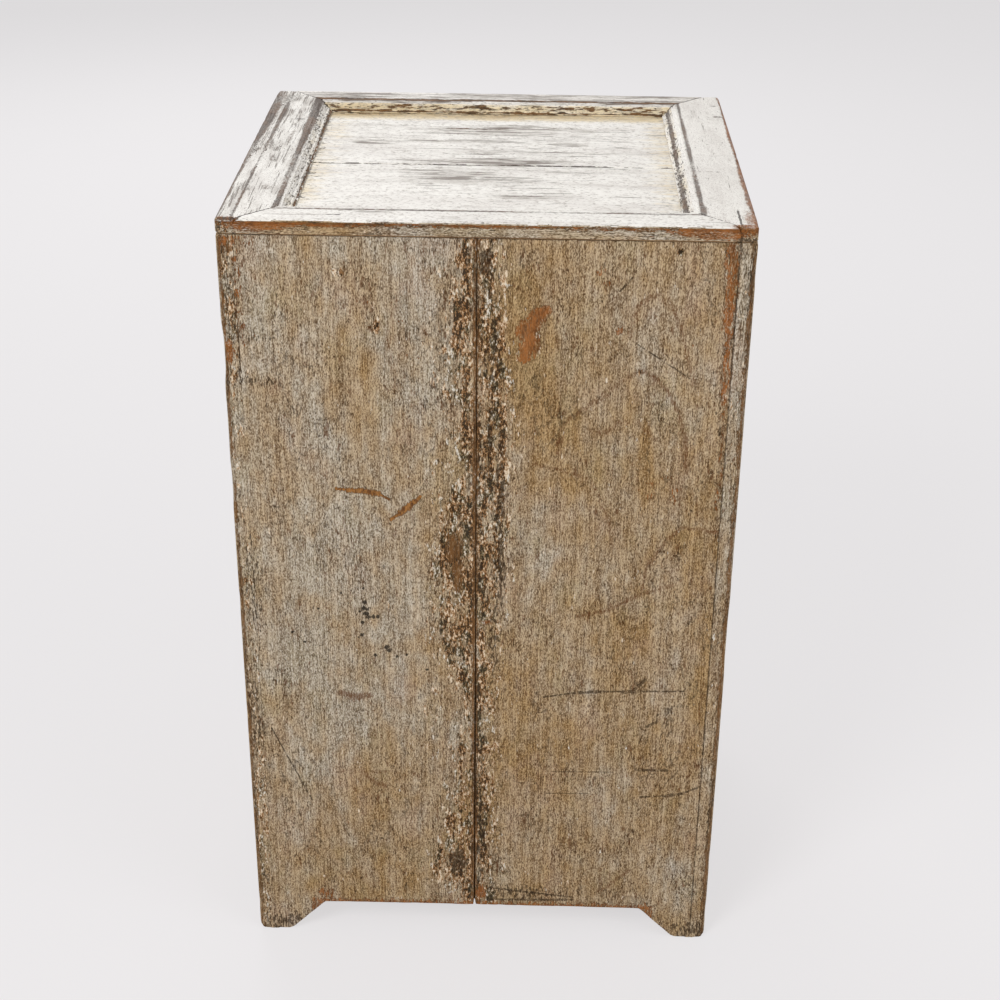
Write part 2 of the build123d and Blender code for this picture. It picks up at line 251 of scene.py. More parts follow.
def ragged_mask_effect():
    """Soft mask broken up by noise into ragged islands, as paint comes away from wood."""
    sockets = {"Mask": "Float", "Vector": "Vector", "Scale": "Float", "Spread": "Float", "Detail": "Float"}
    recipe, given = new_effect("ragged_mask", sockets, {"Mask": "Float"})
    lumps = recipe.noise(given["Vector"], given["Scale"], given["Detail"], 0.62)
    shifted = given["Mask"] + (lumps - 0.5) * given["Spread"]
    return handing_on(recipe, Mask=shifted.rise(0.42, 0.58))


def wood_grain_effect():
    """Wood with rings, fibres and pores that run along the long way of the place it is given."""
    sockets = {"Vector": "Vector", "Pale": "Color", "Dark": "Color"}
    recipe, given = new_effect("wood_grain", sockets, {"Color": "Color", "Height": "Float"})
    rings = recipe.noise(given["Vector"], 110.0, 3.0, 0.6)
    fibres = recipe.noise(given["Vector"], 760.0, 3.0, 0.7)
    shade = (rings * 0.4 + fibres * 0.6).rise(0.38, 0.6)
    return handing_on(recipe, Color=recipe.laid(shade, given["Dark"], given["Pale"]), Height=fibres)


TONE_PLACES = (0.0, 0.45, 1.0)
PAINT_TONES = {
    "Base": (WALL_COOL, WALL_BEIGE, WALL_OCHRE),
    "Pale": (PALE_COOL, PALE_BEIGE, PALE_OCHRE),
    "Dark": (DARK_COOL, DARK_BEIGE, DARK_OCHRE),
}


def paint_tones_effect():
    """Wall paint that goes from cool grey to ochre with its tone, and the pale and dark grains in it."""
    recipe, given = new_effect("paint_tones", {"Tone": "Float"}, {name: "Color" for name in PAINT_TONES})
    ramps = {}
    for name, colours in PAINT_TONES.items():
        ramps[name] = recipe.ramp(given["Tone"], list(zip(TONE_PLACES, colours)))
    return handing_on(recipe, **ramps)


WARM_PLACES = (0.43, 0.48, 0.53, 0.57, 0.62)
WARM_FLAKING = (WOOD_DARK, WOOD_BROWN, CRUMB_TAN, CRUMB_PALE, FLAKE_CREAM)
GREY_PLACES = (0.43, 0.48, 0.53, 0.58, 0.64)
GREY_FLAKING = (WOOD_BLACK, WOOD_OLIVE, CRUMB_OLIVE, CRUMB_GREY, FLAKE_WHITE)


def flaking_effect():
    """Paint that comes off: wood with dark pores under crumbs of paint, warm in places and grey in others."""
    sockets = {"Vector": "Vector", "Loss": "Float"}
    recipe, given = new_effect("flaking", sockets, {"Color": "Color", "Height": "Float"})
    crumbs = recipe.noise(given["Vector"], 560.0, 3.0, 0.74)
    left = crumbs - (given["Loss"] - 0.62) * 0.22
    warm = recipe.ramp(left, list(zip(WARM_PLACES, WARM_FLAKING)))
    grey = recipe.ramp(left, list(zip(GREY_PLACES, GREY_FLAKING)))
    places = recipe.noise(given["Vector"], 130.0, 3.0, 0.7).rise(0.48, 0.6)
    return handing_on(recipe, Color=recipe.laid(places, warm, grey), Height=left)


def veins_effect():
    """Thin cracks that wander along the grain and come and go."""
    sockets = {"Vector": "Vector", "Scale": "Float", "Width": "Float"}
    recipe, given = new_effect("veins", sockets, {"Mask": "Float"})
    field = recipe.noise(given["Vector"], given["Scale"], 3.0, 0.55)
    away = recipe.math("ABSOLUTE", field - 0.5)
    line = 1.0 - (away / given["Width"]).rise(0.3, 1.0)
    zones = recipe.noise(given["Vector"], given["Scale"] * 0.42).rise(0.5, 0.62)
    breaks = recipe.noise(given["Vector"], given["Scale"] * 14.0).rise(0.4, 0.55)
    return handing_on(recipe, Mask=line * (zones * breaks))


def scratch_effect():
    """Line between two points on the surface, with an edge that wobbles."""
    sockets = {"Vector": "Vector", "Start": "Vector", "End": "Vector", "Width": "Float", "Wobble": "Float"}
    recipe, given = new_effect("scratch", sockets, {"Mask": "Float"})
    across = recipe.vectors("SUBTRACT", given["Vector"], given["Start"])
    whole = recipe.vectors("SUBTRACT", given["End"], given["Start"])
    reach = recipe.vectors("DOT_PRODUCT", across, whole, "Value")
    length = recipe.vectors("DOT_PRODUCT", whole, whole, "Value")
    along = recipe.math("MINIMUM", reach / length | 0.0, 1.0)
    nearest = recipe.made("ShaderNodeVectorMath", {0: whole, "Scale": along}, operation="SCALE")
    away = recipe.vectors("DISTANCE", across, nearest, "Value")
    share = away / given["Width"] + given["Wobble"]
    return handing_on(recipe, Mask=1.0 - share.rise(0.75, 1.1))


RAGGED = ragged_mask_effect()
GRAIN = wood_grain_effect()
TONES = paint_tones_effect()
FLAKING = flaking_effect()
VEINS = veins_effect()
SCRATCH = scratch_effect()

# Depths of the relief that the finishes have
WALL_RELIEF = 0.42 * MM
TOP_RELIEF = 0.3 * MM
WOOD_RELIEF = 0.2 * MM
BRASS_RELIEF = 0.25 * MM


class Finish(Recipe):
    """Material with a Principled shader, its colour laid on in coats."""

    def __init__(self, name):
        self.material = bpy.data.materials.new(name)
        self.material.use_nodes = True
        super().__init__(self.material.node_tree)
        self.shader = self.tree.nodes["Principled BSDF"]
        self.place = self.made("ShaderNodeTexCoord", {}, "Object")

    def stretched(self, along, *shares):
        """Places squeezed to each of the shares along one axis, so that patterns run long there."""
        scales = [[share if axis == along else 1.0 for axis in "XYZ"] for share in shares]
        return [self.vectors("MULTIPLY", self.place, scale) for scale in scales]

    def painted(self, *names):
        """Shares that a board's own points carry under those names."""
        return [self.made("ShaderNodeAttribute", {}, "Fac", attribute_name=name) for name in names]

    def ragged(self, mask, place, scale, spread, detail=4.0):
        inputs = {"Mask": mask, "Vector": place, "Scale": scale, "Spread": spread, "Detail": detail}
        return self.effect(RAGGED, **inputs)["Mask"]

    def grain(self, place, pale, dark):
        return self.effect(GRAIN, Vector=place, Pale=pale, Dark=dark)["Color"]

    def start(self, colour):
        self.colour = colour

    def lay(self, colour, mask):
        """Lays a colour over the coats before it, where the mask is 1."""
        self.colour = self.laid(mask, self.colour, colour)

    def done(self, relief, depth, inputs):
        """Material of all the coats, raised by the depth where the relief goes from 0 to 1."""
        bump = {"Strength": 1.0, "Distance": depth, "Height": relief}
        normal = self.made("ShaderNodeBump", bump, "Normal")
        self.feed(self.shader.inputs, {"Base Color": self.colour, "Normal": normal} | inputs)
        return self.material


def scratches(finish, wobble, rows, wider=1.0):
    """Mask of all the scratches in the rows: start, end and width on the back of the chest."""
    mask = None
    for (start_x, start_z), (end_x, end_z), width in rows:
        start = (start_x * MM, BACK_Y, start_z * MM)
        end = (end_x * MM, BACK_Y, end_z * MM)
        inputs = {"Vector": finish.place, "Start": start, "End": end, "Width": width * wider * MM}
        line = finish.effect(SCRATCH, Wobble=wobble, **inputs)["Mask"]
        mask = mask | line if mask else line
    return mask


# Marks on the back: start, end and half width of each line, in millimetres on the face
BARE_SCRATCHES = [
    ((123, 470), (113, 469), 1.3), ((113, 469), (99, 468), 2.3), ((99, 468), (88, 466), 2.8),
    ((88, 466), (79, 461), 1.2), ((78, 442), (70, 448), 1.6), ((70, 448), (58, 459), 2.7),
    ((58, 459), (53, 464), 1.5),
]
DARK_SCRATCHES = [
    ((-53, 268), (-80, 273), 0.9), ((-80, 273), (-104, 275), 1.6), ((-104, 275), (-175, 277), 0.9),
    ((-122, 275), (-138, 276), 1.8), ((-130, 275), (-141, 288), 1.7), ((-145, 239), (-153, 244), 1.4),
    ((-153, 244), (-154, 252), 1.0), ((-138, 192), (-165, 192), 1.5), ((-63, 188), (-117, 189), 0.5),
    ((-58, 164), (-97, 165), 0.45), ((-142, 162), (-168, 164), 0.9), ((-166, 164), (-180, 167), 1.5),
    ((-180, 167), (-196, 175), 1.0), ((188, 229), (155, 151), 0.7), ((-121, 603), (-163, 575), 0.6),
    ((-7, 54), (-85, 45), 1.0), ((-5, 40), (-85, 42), 1.4), ((-105, 648), (-114, 659), 0.8),
]
BLACK_SPOTS = [
    (102, 361, 2.2), (103, 355, 2.5), (100, 354, 1.8), (106, 352, 1.4), (101, 350, 2.7), (99, 346, 2.2),
    (95, 347, 2.2), (91, 347, 2.0), (104, 341, 1.8), (105, 328, 2.1), (108, 326, 1.3), (84, 316, 2.5),
    (82, 313, 2.2), (94, 308, 1.6), (75, 307, 1.6), (67, 309, 1.6), (122, 370, 1.2), (103, 375, 1.2),
    (165, 330, 1.5), (142, 354, 1.3), (155, 320, 1.2), (49, 294, 1.5),
]
JOINTS = [
    ((-196, 20), (-196, 689), 0.7), ((-200, 689), (200, 689), 0.5),
]


def grains(finish, tones, field, reach, share):
    """Lays pale grains where the field is high, and dark ones where it is low."""
    finish.lay(tones["Pale"], field.rise(0.5, 0.5 + reach) * share)
    finish.lay(tones["Dark"], field.rise(0.5, 0.5 - reach) * share)


def wall_paint(name, along, with_marks=False):
    """Grey paint gone thin on brown wood, with flecks along the grain, flakes, stains and bare edges."""
    finish = Finish(name)
    hair, drawn, fibre, glint = finish.stretched(along, 0.02, 0.06, 0.13, 0.15)
    short, scaly, dots, lump = finish.stretched(along, 0.22, 0.3, 0.45, 0.6)
    warm, flake, grime = finish.painted("warm", "flake", "grime")
    figure, edge, wear = finish.painted("figure", "edge", "wear")
    cloudy = finish.noise(lump, 17.0, 3.0, 0.62)
    zones = finish.noise(lump, 38.0, 4.0, 0.62)
    mottled = finish.noise(dots, 140.0, 4.0, 0.7)
    patchy = finish.noise(dots, 90.0, 1.5, 0.5)
    blushed = finish.noise(lump, 28.0, 3.0, 0.65)
    streaks = finish.noise(drawn, 210.0, 3.0, 0.7)
    hairs = finish.noise(hair, 760.0, 2.0, 0.6)
    glints = finish.noise(glint, 1050.0, 2.0, 0.6)
    grit = finish.noise(dots, 1150.0, 1.0, 0.5)
    strokes = finish.noise(short, 900.0, 2.0, 0.65)
    rusty = finish.noise(scaly, 330.0, 2.0, 0.6)

    tones = finish.effect(TONES, Tone=warm + (cloudy * 1.9 + patchy * 1.2 - 1.55))
    finish.start(tones["Base"])
    finish.lay(WALL_PINK, blushed.rise(0.52, 0.7) * 0.5)
    finish.lay(WALL_OLIVE, blushed.rise(0.48, 0.3) * 0.45)
    grains(finish, tones, streaks, 0.2, 0.32)
    grains(finish, tones, hairs, 0.17, 0.46)
    grains(finish, tones, glints, 0.165, 0.5)
    grains(finish, tones, grit, 0.22, 0.7)
    loose = zones * 0.45 + mottled * 0.35 - 0.4 + flake * 0.12
    flecks = (strokes - loose).rise(0.37, 0.31)
    finish.lay(tones["Dark"], flecks * 0.86)
    finish.lay(WOOD_RUST, (figure + (strokes - 0.5) * 1.9).rise(0.32, 0.72) * 0.7)
    finish.lay(WOOD_RUST, (rusty + (zones - 0.5) * 0.5).rise(0.67, 0.72) * 0.62)
    cracks = finish.effect(VEINS, Vector=dots, Scale=46.0, Width=0.02)["Mask"]
    finish.lay(WOOD_DARK, cracks * 0.55)
    scuffs = finish.effect(VEINS, Vector=lump, Scale=75.0, Width=0.016)["Mask"]
    finish.lay(tones["Pale"], scuffs * 0.6)

    flaked = finish.effect(FLAKING, Vector=dots, Loss=flake)
    bare = finish.ragged(flake, scaly, 300.0, 2.6)
    finish.lay(flaked["Color"], bare * 0.94)
    dirty = finish.ragged(grime, scaly, 560.0, 2.6, 2.0)
    finish.lay(WOOD_DARK, dirty * 0.75)
    kept = grit.rise(0.66, 0.42) * 0.42 + 0.5
    rubbed = finish.ragged(edge, short, 460.0, 2.6)
    bared = rubbed * (kept | edge.rise(0.85, 1.05) * 0.9)
    finish.lay(finish.grain(fibre, WOOD_BROWN, WOOD_DARK), bared)
    worn = finish.ragged(wear, scaly, 460.0, 2.6)
    scraped_off = worn * (kept | wear.rise(0.8, 1.0) * 0.86)
    finish.lay(finish.grain(short, WOOD_ORANGE, WOOD_RUST), scraped_off)
    lost = bare | worn | rubbed | flecks

    if with_marks:
        wobble = (finish.noise(dots, 640.0, 3.0, 0.7) - 0.5) * 2.6
        broken = finish.noise(lump, 300.0, 3.0, 0.7).rise(0.32, 0.55)
        finish.lay(WOOD_DARK, scratches(finish, wobble, BARE_SCRATCHES, 1.25) * 0.45)
        scraped = scratches(finish, wobble, BARE_SCRATCHES)
        finish.lay(finish.grain(dots, CHIP_TAN, WOOD_RUST), scraped * 0.92)
        scored = scratches(finish, wobble, DARK_SCRATCHES) * broken
        finish.lay(WOOD_DARK, scored * 0.76)
        spots = [((x, z), (x, z), radius) for x, z, radius in BLACK_SPOTS]
        finish.lay(SOOT, scratches(finish, wobble, spots) * 0.9)
        jointed = scratches(finish, wobble, JOINTS) * broken
        finish.lay(WOOD_DARK, jointed * 0.7)
        lost = lost | scraped | scored | jointed

    relief = grit * 0.9 + glints * 0.5 - lost + bare * (flaked["Height"] * 1.2)
    gloss = {"Specular IOR Level": 0.18, "Roughness": (lost | dirty) * 0.2 + 0.64}
    return finish.done(relief, WALL_RELIEF, gloss)


def top_paint(name, along, fineness):
    """White paint of the top, streaked grey along the grain, cream in the corners, brown where it is lost."""
    finish = Finish(name)
    drawn, swept, lump, dots = finish.stretched(along, 0.045, 0.2, 0.3, 0.5)
    aged, stripe, speckle, border = finish.painted("aged", "stripe", "speckle", "border")
    crevice, flake, edge, wear = finish.painted("crevice", "flake", "edge", "wear")
    cloudy = finish.noise(lump, 24.0, 5.0, 0.68)
    mottled = finish.noise(dots, 420.0, 4.0, 0.7)
    grit = finish.noise(dots, 1000.0 * fineness, 2.0, 0.7)
    threads = finish.noise(drawn, 700.0 * fineness, 3.0, 0.7)
    smears = finish.noise(swept, 110.0 * fineness, 5.0, 0.74)
    patchy = finish.noise(dots, 260.0 * fineness, 4.0, 0.75)
    zones = finish.noise(lump, 40.0, 4.0, 0.65).rise(0.42, 0.66)
    creamy = border + (finish.noise(lump, 140.0, 4.0, 0.7) - 0.5) * 1.3
    old = aged * (zones * 0.55 + 0.45)
    rough = (mottled - 0.5) * 1.3
    thin = grit.rise(0.66, 0.4) * 0.3 + 0.66

    finish.start(finish.laid(cloudy.rise(0.42, 0.7), TOP_WHITE, TOP_COOL))
    finish.lay(TOP_CREAM, creamy.rise(0.2, 0.9) * 0.8)
    finish.lay(TOP_OCHRE, creamy.rise(0.75, 1.3) * 0.75)
    finish.lay(TOP_SHADE, (smears + old * 0.36).rise(0.54, 0.88) * 0.62)
    finish.lay(TOP_SHADE, patchy.rise(0.52, 0.74) * 0.4)
    finish.lay(TOP_SHADE, grit.rise(0.52, 0.28) * 0.75)
    streaks = (threads + old * 0.28).rise(0.67, 0.73)
    finish.lay(STREAK_GREY, streaks * 0.8)
    specks = finish.ragged(speckle * 0.5 - 0.1, lump, 620.0, 2.6, 2.0)
    finish.lay(SPECK_DARK, specks * 0.9)
    striped = (stripe + rough).rise(0.24, 0.8)
    browned = finish.laid(finish.noise(lump, 70.0, 3.0, 0.7).rise(0.42, 0.6), STRIPE_GREY, STRIPE_BROWN)
    mixed = finish.laid(mottled.rise(0.3, 0.5), WOOD_DARK, browned)
    finish.lay(mixed, striped * thin)
    bare = finish.ragged(flake, lump, 330.0, 2.0)
    finish.lay(finish.grain(lump, WOOD_BROWN, WOOD_DARK), bare * 0.94)
    finish.lay(WOOD_DARK, finish.ragged(crevice, lump, 460.0, 1.6) * 0.88)
    rubbed = finish.ragged(edge, dots, 400.0, 2.0)
    finish.lay(mixed, rubbed * thin)
    worn = (wear + rough).rise(0.3, 0.8)
    finish.lay(finish.grain(lump, WOOD_ORANGE, WOOD_RUST), worn * thin)

    lost = bare | worn | striped | rubbed | specks
    relief = grit * 0.6 - (lost | streaks * 0.6)
    gloss = {"Specular IOR Level": 0.22, "Roughness": lost * 0.25 + 0.55}
    return finish.done(relief, TOP_RELIEF, gloss)


RINGS_ACROSS = 18.0


def bare_wood(name, along):
    """Unpainted wood of the inside: brown, dusty and darker in its pores."""
    finish = Finish(name)
    flowing, fibre, lump = finish.stretched(along, 0.07, 0.09, 0.4)
    grain = finish.effect(GRAIN, Vector=fibre, Pale=BARE_PALE, Dark=BARE_DARK)
    flow = finish.noise(flowing, 13.0, 3.0, 0.45)
    rings = finish.math("PINGPONG", flow * RINGS_ACROSS, 0.5)
    finish.start(grain["Color"])
    finish.lay(WOOD_BROWN, finish.noise(lump, 11.0, 4.0, 0.6).rise(0.45, 0.7) * 0.5)
    finish.lay(BARE_DARK, rings.rise(0.24, 0.5) * 0.55)
    dusty = finish.ragged(0.28, finish.place, 60.0, 1.4)
    finish.lay(DUST, dusty * 0.3)
    pores = finish.ragged(0.16, fibre, 820.0, 2.2)
    finish.lay(WOOD_DARK, pores * 0.6)
    return finish.done(grain["Height"] - pores, WOOD_RELIEF, {"Roughness": dusty * 0.15 + 0.7})


def pull_brass(name):
    """Old brass, rubbed bright on its high places and brown with a little green in the low ones."""
    finish = Finish(name)
    rubbed = finish.noise(finish.place, 160.0, 4.0, 0.6).rise(0.42, 0.6)
    green = finish.ragged(0.2, finish.place, 420.0, 1.8)
    hammered = finish.noise(finish.place, 330.0, 1.0, 0.4)
    finish.start(finish.laid(rubbed, BRASS_DULL, BRASS_BRIGHT))
    finish.lay(VERDIGRIS, green * 0.5)
    gloss = {"Metallic": 1.0 - green * 0.7, "Roughness": 0.52 - rubbed * 0.2}
    return finish.done(hammered - green * 0.3, BRASS_RELIEF, gloss)


BACK_PAINT = wall_paint("back_wall_paint", "Z", with_marks=True)
SIDE_PAINT = wall_paint("side_wall_paint", "Z")
LONG_PAINT = wall_paint("front_wall_paint", "X")
CROSS_PAINT = wall_paint("frame_edge_paint", "Y")
TOP_LONG = top_paint("top_paint_long", "X", 0.5)
TOP_CROSS = top_paint("top_paint_cross", "Y", 1.0)
BARE_LONG = bare_wood("bare_wood_long", "X")
BARE_CROSS = bare_wood("bare_wood_cross", "Y")
BARE_UPRIGHT = bare_wood("bare_wood_upright", "Z")
BRASS = pull_brass("pull_brass")


# Weathered boards

LATTICE = 64
FLAT = 0.999  # of a normal along its axis, on a flat face
UPRIGHT = 0.65  # of a normal along Z at most, on an upright face
SOFTENING = 5  # rounds of averaging that turn a sharp edge into a worn one
SHARP_ANGLE = math.radians(38)
EDGE_REACH = 5 * MM
LOW_EDGE = 37 * MM
JOINT_REACH = 4 * MM
FACE_REACH = 3 * MM
JOINT_SHARE = 0.12  # of the rubbing that outer edges get
LOW_SHARE = 0.5
FAR_ROUND = 9 * MM
NEAR_ROUND = 4.5 * MM
ARRIS_ROUND = 3 * MM
WALL_ROUND = 5 * MM
FOOT_ROUND = 6 * MM

# Depths in millimetres that wear takes off a board
UNEVEN_DEPTH = 0.2
DENT_DEPTH = 0.35
CHIP_DEPTH = 0.6
FLAKE_DEPTH = 0.3
MOST_SHARE = 1.2  # that a board's points carry of any mark


def cloud(points, size, seed):
    """Smooth noise from 0 to 1 in lumps of that size in millimetres, one number or one for each axis."""
    lattice = np.random.default_rng(seed).random((LATTICE, LATTICE, LATTICE))
    place = points / (np.asarray(size) * MM)
    base = np.floor(place).astype(int)
    share = place - base
    share = share * share * (3 - 2 * share)
    total = np.zeros(len(points))
    for corner in np.ndindex(2, 2, 2):
        weight = np.prod(np.where(corner, share, 1 - share), axis=1)
        total += weight * lattice[tuple((base + corner).T % LATTICE)]
    return total


def rise(value, low, high):
    """Smooth rise from 0 to 1 while the value goes from low to high."""
    share = np.clip((value - low) / (high - low), 0, 1)
    return share * share * (3 - 2 * share)


def put_in(name, data):
    """New object of that name in the scene."""
    piece = bpy.data.objects.new(name, data)
    bpy.context.scene.collection.objects.link(piece)
    return piece


def cut_into_cells(node, cell):
    """Mesh of a CAD node's solid in even cells of that size."""
    blank = put_in(f"{node}_blank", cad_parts[node].data.copy())
    cells = blank.modifiers.new("cells", "REMESH")
    cells.mode = "VOXEL"
    cells.voxel_size = cell
    cells.use_smooth_shade = True
    graph = bpy.context.evaluated_depsgraph_get()
    mesh = bpy.data.meshes.new_from_object(blank.evaluated_get(graph))
    mesh.materials.clear()
    bpy.data.objects.remove(blank)
    return mesh


def read(items, name, width):
    """Values of that name that a mesh's items have, each of that width."""
    values = np.zeros(len(items) * width, np.float32)
    items.foreach_get(name, values)
    return values.reshape(-1, width).astype(float)


def softened(points, edges, rounds):
    """Points after rounds of averaging with their neighbours."""
    first, second = edges.T
    count = len(points)
    neighbours = np.bincount(edges.ravel(), minlength=count)
    for _ in range(rounds):
        columns = [
            np.bincount(first, column[second], count) + np.bincount(second, column[first], count)
            for column in points.T
        ]
        points = np.stack(columns, axis=1) / neighbours[:, None]
    return points


def carry(mesh, name, values):
    """Leaves values on the mesh's points, for its paint to read."""
    mesh.attributes.new(name, "FLOAT", "POINT").data.foreach_set("value", values.astype(np.float32))


def squared(points, node, cell):
    """Points of a cut-up solid, drawn out to the solid's flat faces, which the cells round off."""
    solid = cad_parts[node].data
    normals = read(solid.polygons, "normal", 3)
    centres = read(solid.polygons, "center", 3)
    points = points.copy()
    for axis in range(3):
        levels = np.unique(np.round(centres[np.abs(normals[:, axis]) > FLAT, axis], 5))
        nearest = levels[np.argmin(np.abs(points[:, axis, None] - levels), axis=1)]
        close = np.abs(points[:, axis] - nearest) < 0.5 * cell
        points[close, axis] = nearest[close]
    return points


def eased(points, first, second, radius):
    """Rounds the edge of two faces, each given as an axis, its level and the way it looks."""
    over = [way * (points[:, axis] - level) + radius for axis, level, way in (first, second)]
    reach = np.hypot(*over)
    outside = (over[0] > 0) & (over[1] > 0) & (reach > radius)
    for (axis, level, way), distance in zip((first, second), over):
        kept = distance[outside] * radius / reach[outside]
        points[outside, axis] = level + way * (kept - radius)


def rounded_corners(points, node):
    """Feet rounded at their outer corners, and the upright corners of the frame and of the walls."""
    if node.startswith(("side_", "top_rail")):
        far_round = FAR_ROUND if node.startswith("top_rail") else WALL_ROUND
        for way in (-1, 1):
            outer = (0, way * SIDE_X, way)
            eased(points, outer, (1, FRONT_Y, -1), far_round)
            eased(points, outer, (1, BACK_Y, 1), NEAR_ROUND)
            if node.startswith("side_"):
                eased(points, outer, (2, 0.0, -1), FOOT_ROUND)
            else:
                eased(points, outer, (2, TOP_Z, 1), ARRIS_ROUND)


def open_edges(points):
    """Share of rubbing: all of it at the outer edges of the chest, less near the floor and at joints."""
    by_side = np.abs(points[:, 0]) > SIDE_X - EDGE_REACH
    by_face = np.abs(points[:, 1]) > BACK_Y - EDGE_REACH
    by_top = points[:, 2] > TOP_Z - EDGE_REACH
    low = (points[:, 2] < LOW_EDGE) & (np.abs(np.abs(points[:, 0]) - INNER_X) > JOINT_REACH)
    outer = (by_side & by_face) | (by_side & by_top) | (by_face & by_top)
    return np.where(outer & ~low, 1.0, np.where(low, LOW_SHARE, JOINT_SHARE))


def weathered(node, body, cell, coats, marks, seed, edges_open=open_edges):
    """Board in place of a CAD node: edges rubbed round, chipped and dented, in coats of paint by face.

    coats are pairs of a material and a test on face normals and centres; the first that holds is used.
    marks gives the shares of flaking and the like at points with normals.
    """
    mesh = cut_into_cells(node, cell)
    normals = read(mesh.vertex_normals, "vector", 3)
    points = squared(read(mesh.vertices, "co", 3), node, cell)
    edges = np.zeros(len(mesh.edges) * 2, np.int32)
    mesh.edges.foreach_get("vertices", edges)
    soft = softened(points, edges.reshape(-1, 2), SOFTENING)
    inward = -np.sum((soft - points) * normals, axis=1) / cell
    exposed = rise(inward, 0.04, 0.7)
    hollow = rise(-inward, 0.04, 0.6)
    shares = marks(points, normals)
    rounded_corners(points, node)

    patchy = cloud(points, 38, seed)
    fine = cloud(points, 9, seed + 1)
    open_share = edges_open(points)
    at_edge = exposed * open_share
    at_joint = exposed * (1 - open_share)
    rubbed = at_edge * (0.3 + 0.7 * patchy)
    chipped = at_edge * rise(fine + 0.35 * patchy, 0.78, 0.95)
    dented = rise(cloud(points, 30, seed + 2), 0.72, 0.95)
    uneven = cloud(points, 70, seed + 3)
    lowered = rise(shares.get("flake", 0 * patchy) + fine - 0.5, 0.35, 0.6)
    depth = UNEVEN_DEPTH * uneven + DENT_DEPTH * dented + CHIP_DEPTH * chipped + FLAKE_DEPTH * lowered
    depth = depth * (1 - at_joint) + shares.pop("dent", 0)
    points = points + (soft - points) * rubbed[:, None] - normals * depth[:, None] * MM
    points = np.clip(points, *cad_box)
    mesh.vertices.foreach_set("co", points.astype(np.float32).ravel())
    mesh.update()

    rubbed_bare = at_edge * (0.05 + 0.65 * patchy) + 0.5 * chipped
    shares["edge"] = rubbed_bare * shares.pop("edge_share", 1.0) + shares.get("edge", 0)
    shares["crevice"] = hollow * (0.3 + 0.8 * patchy) + shares.get("crevice", 0)
    for name, values in shares.items():
        carry(mesh, name, np.clip(values, 0, MOST_SHARE))

    face_normals = read(mesh.polygons, "normal", 3)
    face_centres = read(mesh.polygons, "center", 3)
    chosen = np.full(len(mesh.polygons), len(coats) - 1, np.int32)
    for index in reversed(range(len(coats))):
        material, holds = coats[index]
        mesh.materials.append(material)
        chosen[holds(face_normals, face_centres)] = len(coats) - 1 - index
    mesh.polygons.foreach_set("material_index", chosen)
    mesh.polygons.foreach_set("use_smooth", np.ones(len(mesh.polygons), bool))
    mesh.set_sharp_from_angle(angle=SHARP_ANGLE)

    piece = put_in(f"{node}_worn", mesh)
    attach(piece, body)
    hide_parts(node)


def everywhere(normals, centres):
    return np.ones(len(normals), bool)


def facing(direction, least):
    """Test for faces that look towards a direction, by at least that much."""
    return lambda normals, centres: normals @ np.array(direction) >= least


def on_outer_edge(normals, centres):
    """Test for the upright outer faces of the top frame."""
    by_side = np.abs(centres[:, 0]) > SIDE_X - FACE_REACH
    by_face = np.abs(centres[:, 1]) > BACK_Y - FACE_REACH
    return (by_side | by_face) & (np.abs(normals[:, 2]) < UPRIGHT)


# Patches on the back: middle, half sizes and strength of each, in millimetres on the face
BACK_PATCHES = {
    "flake": [
        (24, 404, 10, 36, 0.6), (29, 131, 5, 8, 0.9), (-38, 600, 6, 10, 0.35), (-150, 681, 2.4, 2.4, 1.2),
        (-123, 580, 3, 3, 0.8), (114, 660, 5, 4, 0.6), (86, 615, 3, 9, 0.7), (43, 330, 9, 40, 0.34),
        (40, 470, 7, 40, 0.32), (44, 250, 12, 50, 0.2), (40, 600, 12, 60, 0.2),
    ],
    "grime": [
        (0, 669, 5, 11, 0.95), (-6, 590, 7, 40, 0.4), (-13, 470, 4, 60, 0.6), (-14, 400, 4, 50, 0.6),
        (-9, 330, 5, 50, 0.45), (2, 130, 5, 90, 0.5), (22, 84, 8, 16, 0.85), (-36, 49, 34, 9, 0.42),
        (200, 8, 26, 10, 0.42), (178, 10, 24, 8, 0.36), (-196, 10, 20, 10, 0.36), (205, 62, 10, 12, 0.4),
        (182, 603, 16, 2.5, 0.5), (182, 566, 16, 4, 0.45), (203, 240, 8, 40, 0.4),
        (196, 380, 8, 60, 0.36), (202, 571, 9, 6, 0.55), (-208, 640, 3, 24, 0.6),
    ],
    "edge": [
        (26, 417, 7.5, 14, 1.0), (22, 390, 5, 20, 0.98), (-192, 600, 5, 110, 0.42),
        (-193, 430, 3, 90, 0.34), (-191, 260, 3, 60, 0.34), (196, 610, 3, 60, 0.4),
        (204, 679, 8, 7, 0.75),
    ],
    "wear": [
        (-88, 664, 4, 5, 0.5), (-95, 654, 4, 3, 0.5), (-106, 615, 3, 4, 0.6), (-190, 676, 6, 16, 0.72),
        (-191, 645, 5, 46, 0.72), (-192, 575, 3.6, 44, 0.55), (-193, 490, 2.6, 60, 0.42),
        (194, 650, 2.5, 40, 0.5), (193, 612, 2.5, 20, 0.5), (196, 684, 20, 5, 0.45),
        (-150, 486, 10, 2, 0.4), (-137, 474, 5, 10, 0.36), (-157, 470, 5, 10, 0.4), (-3, 344, 5, 3, 0.6),
        (1, 48, 5, 9, 0.75), (146, 42, 10, 8, 0.5), (206, 591, 6, 11, 0.9),
    ],
}
BACK_DENTS = [(212, 588, 14, 20, 1.3), (212, 470, 12, 16, 0.6), (-212, 330, 12, 30, 0.6)]

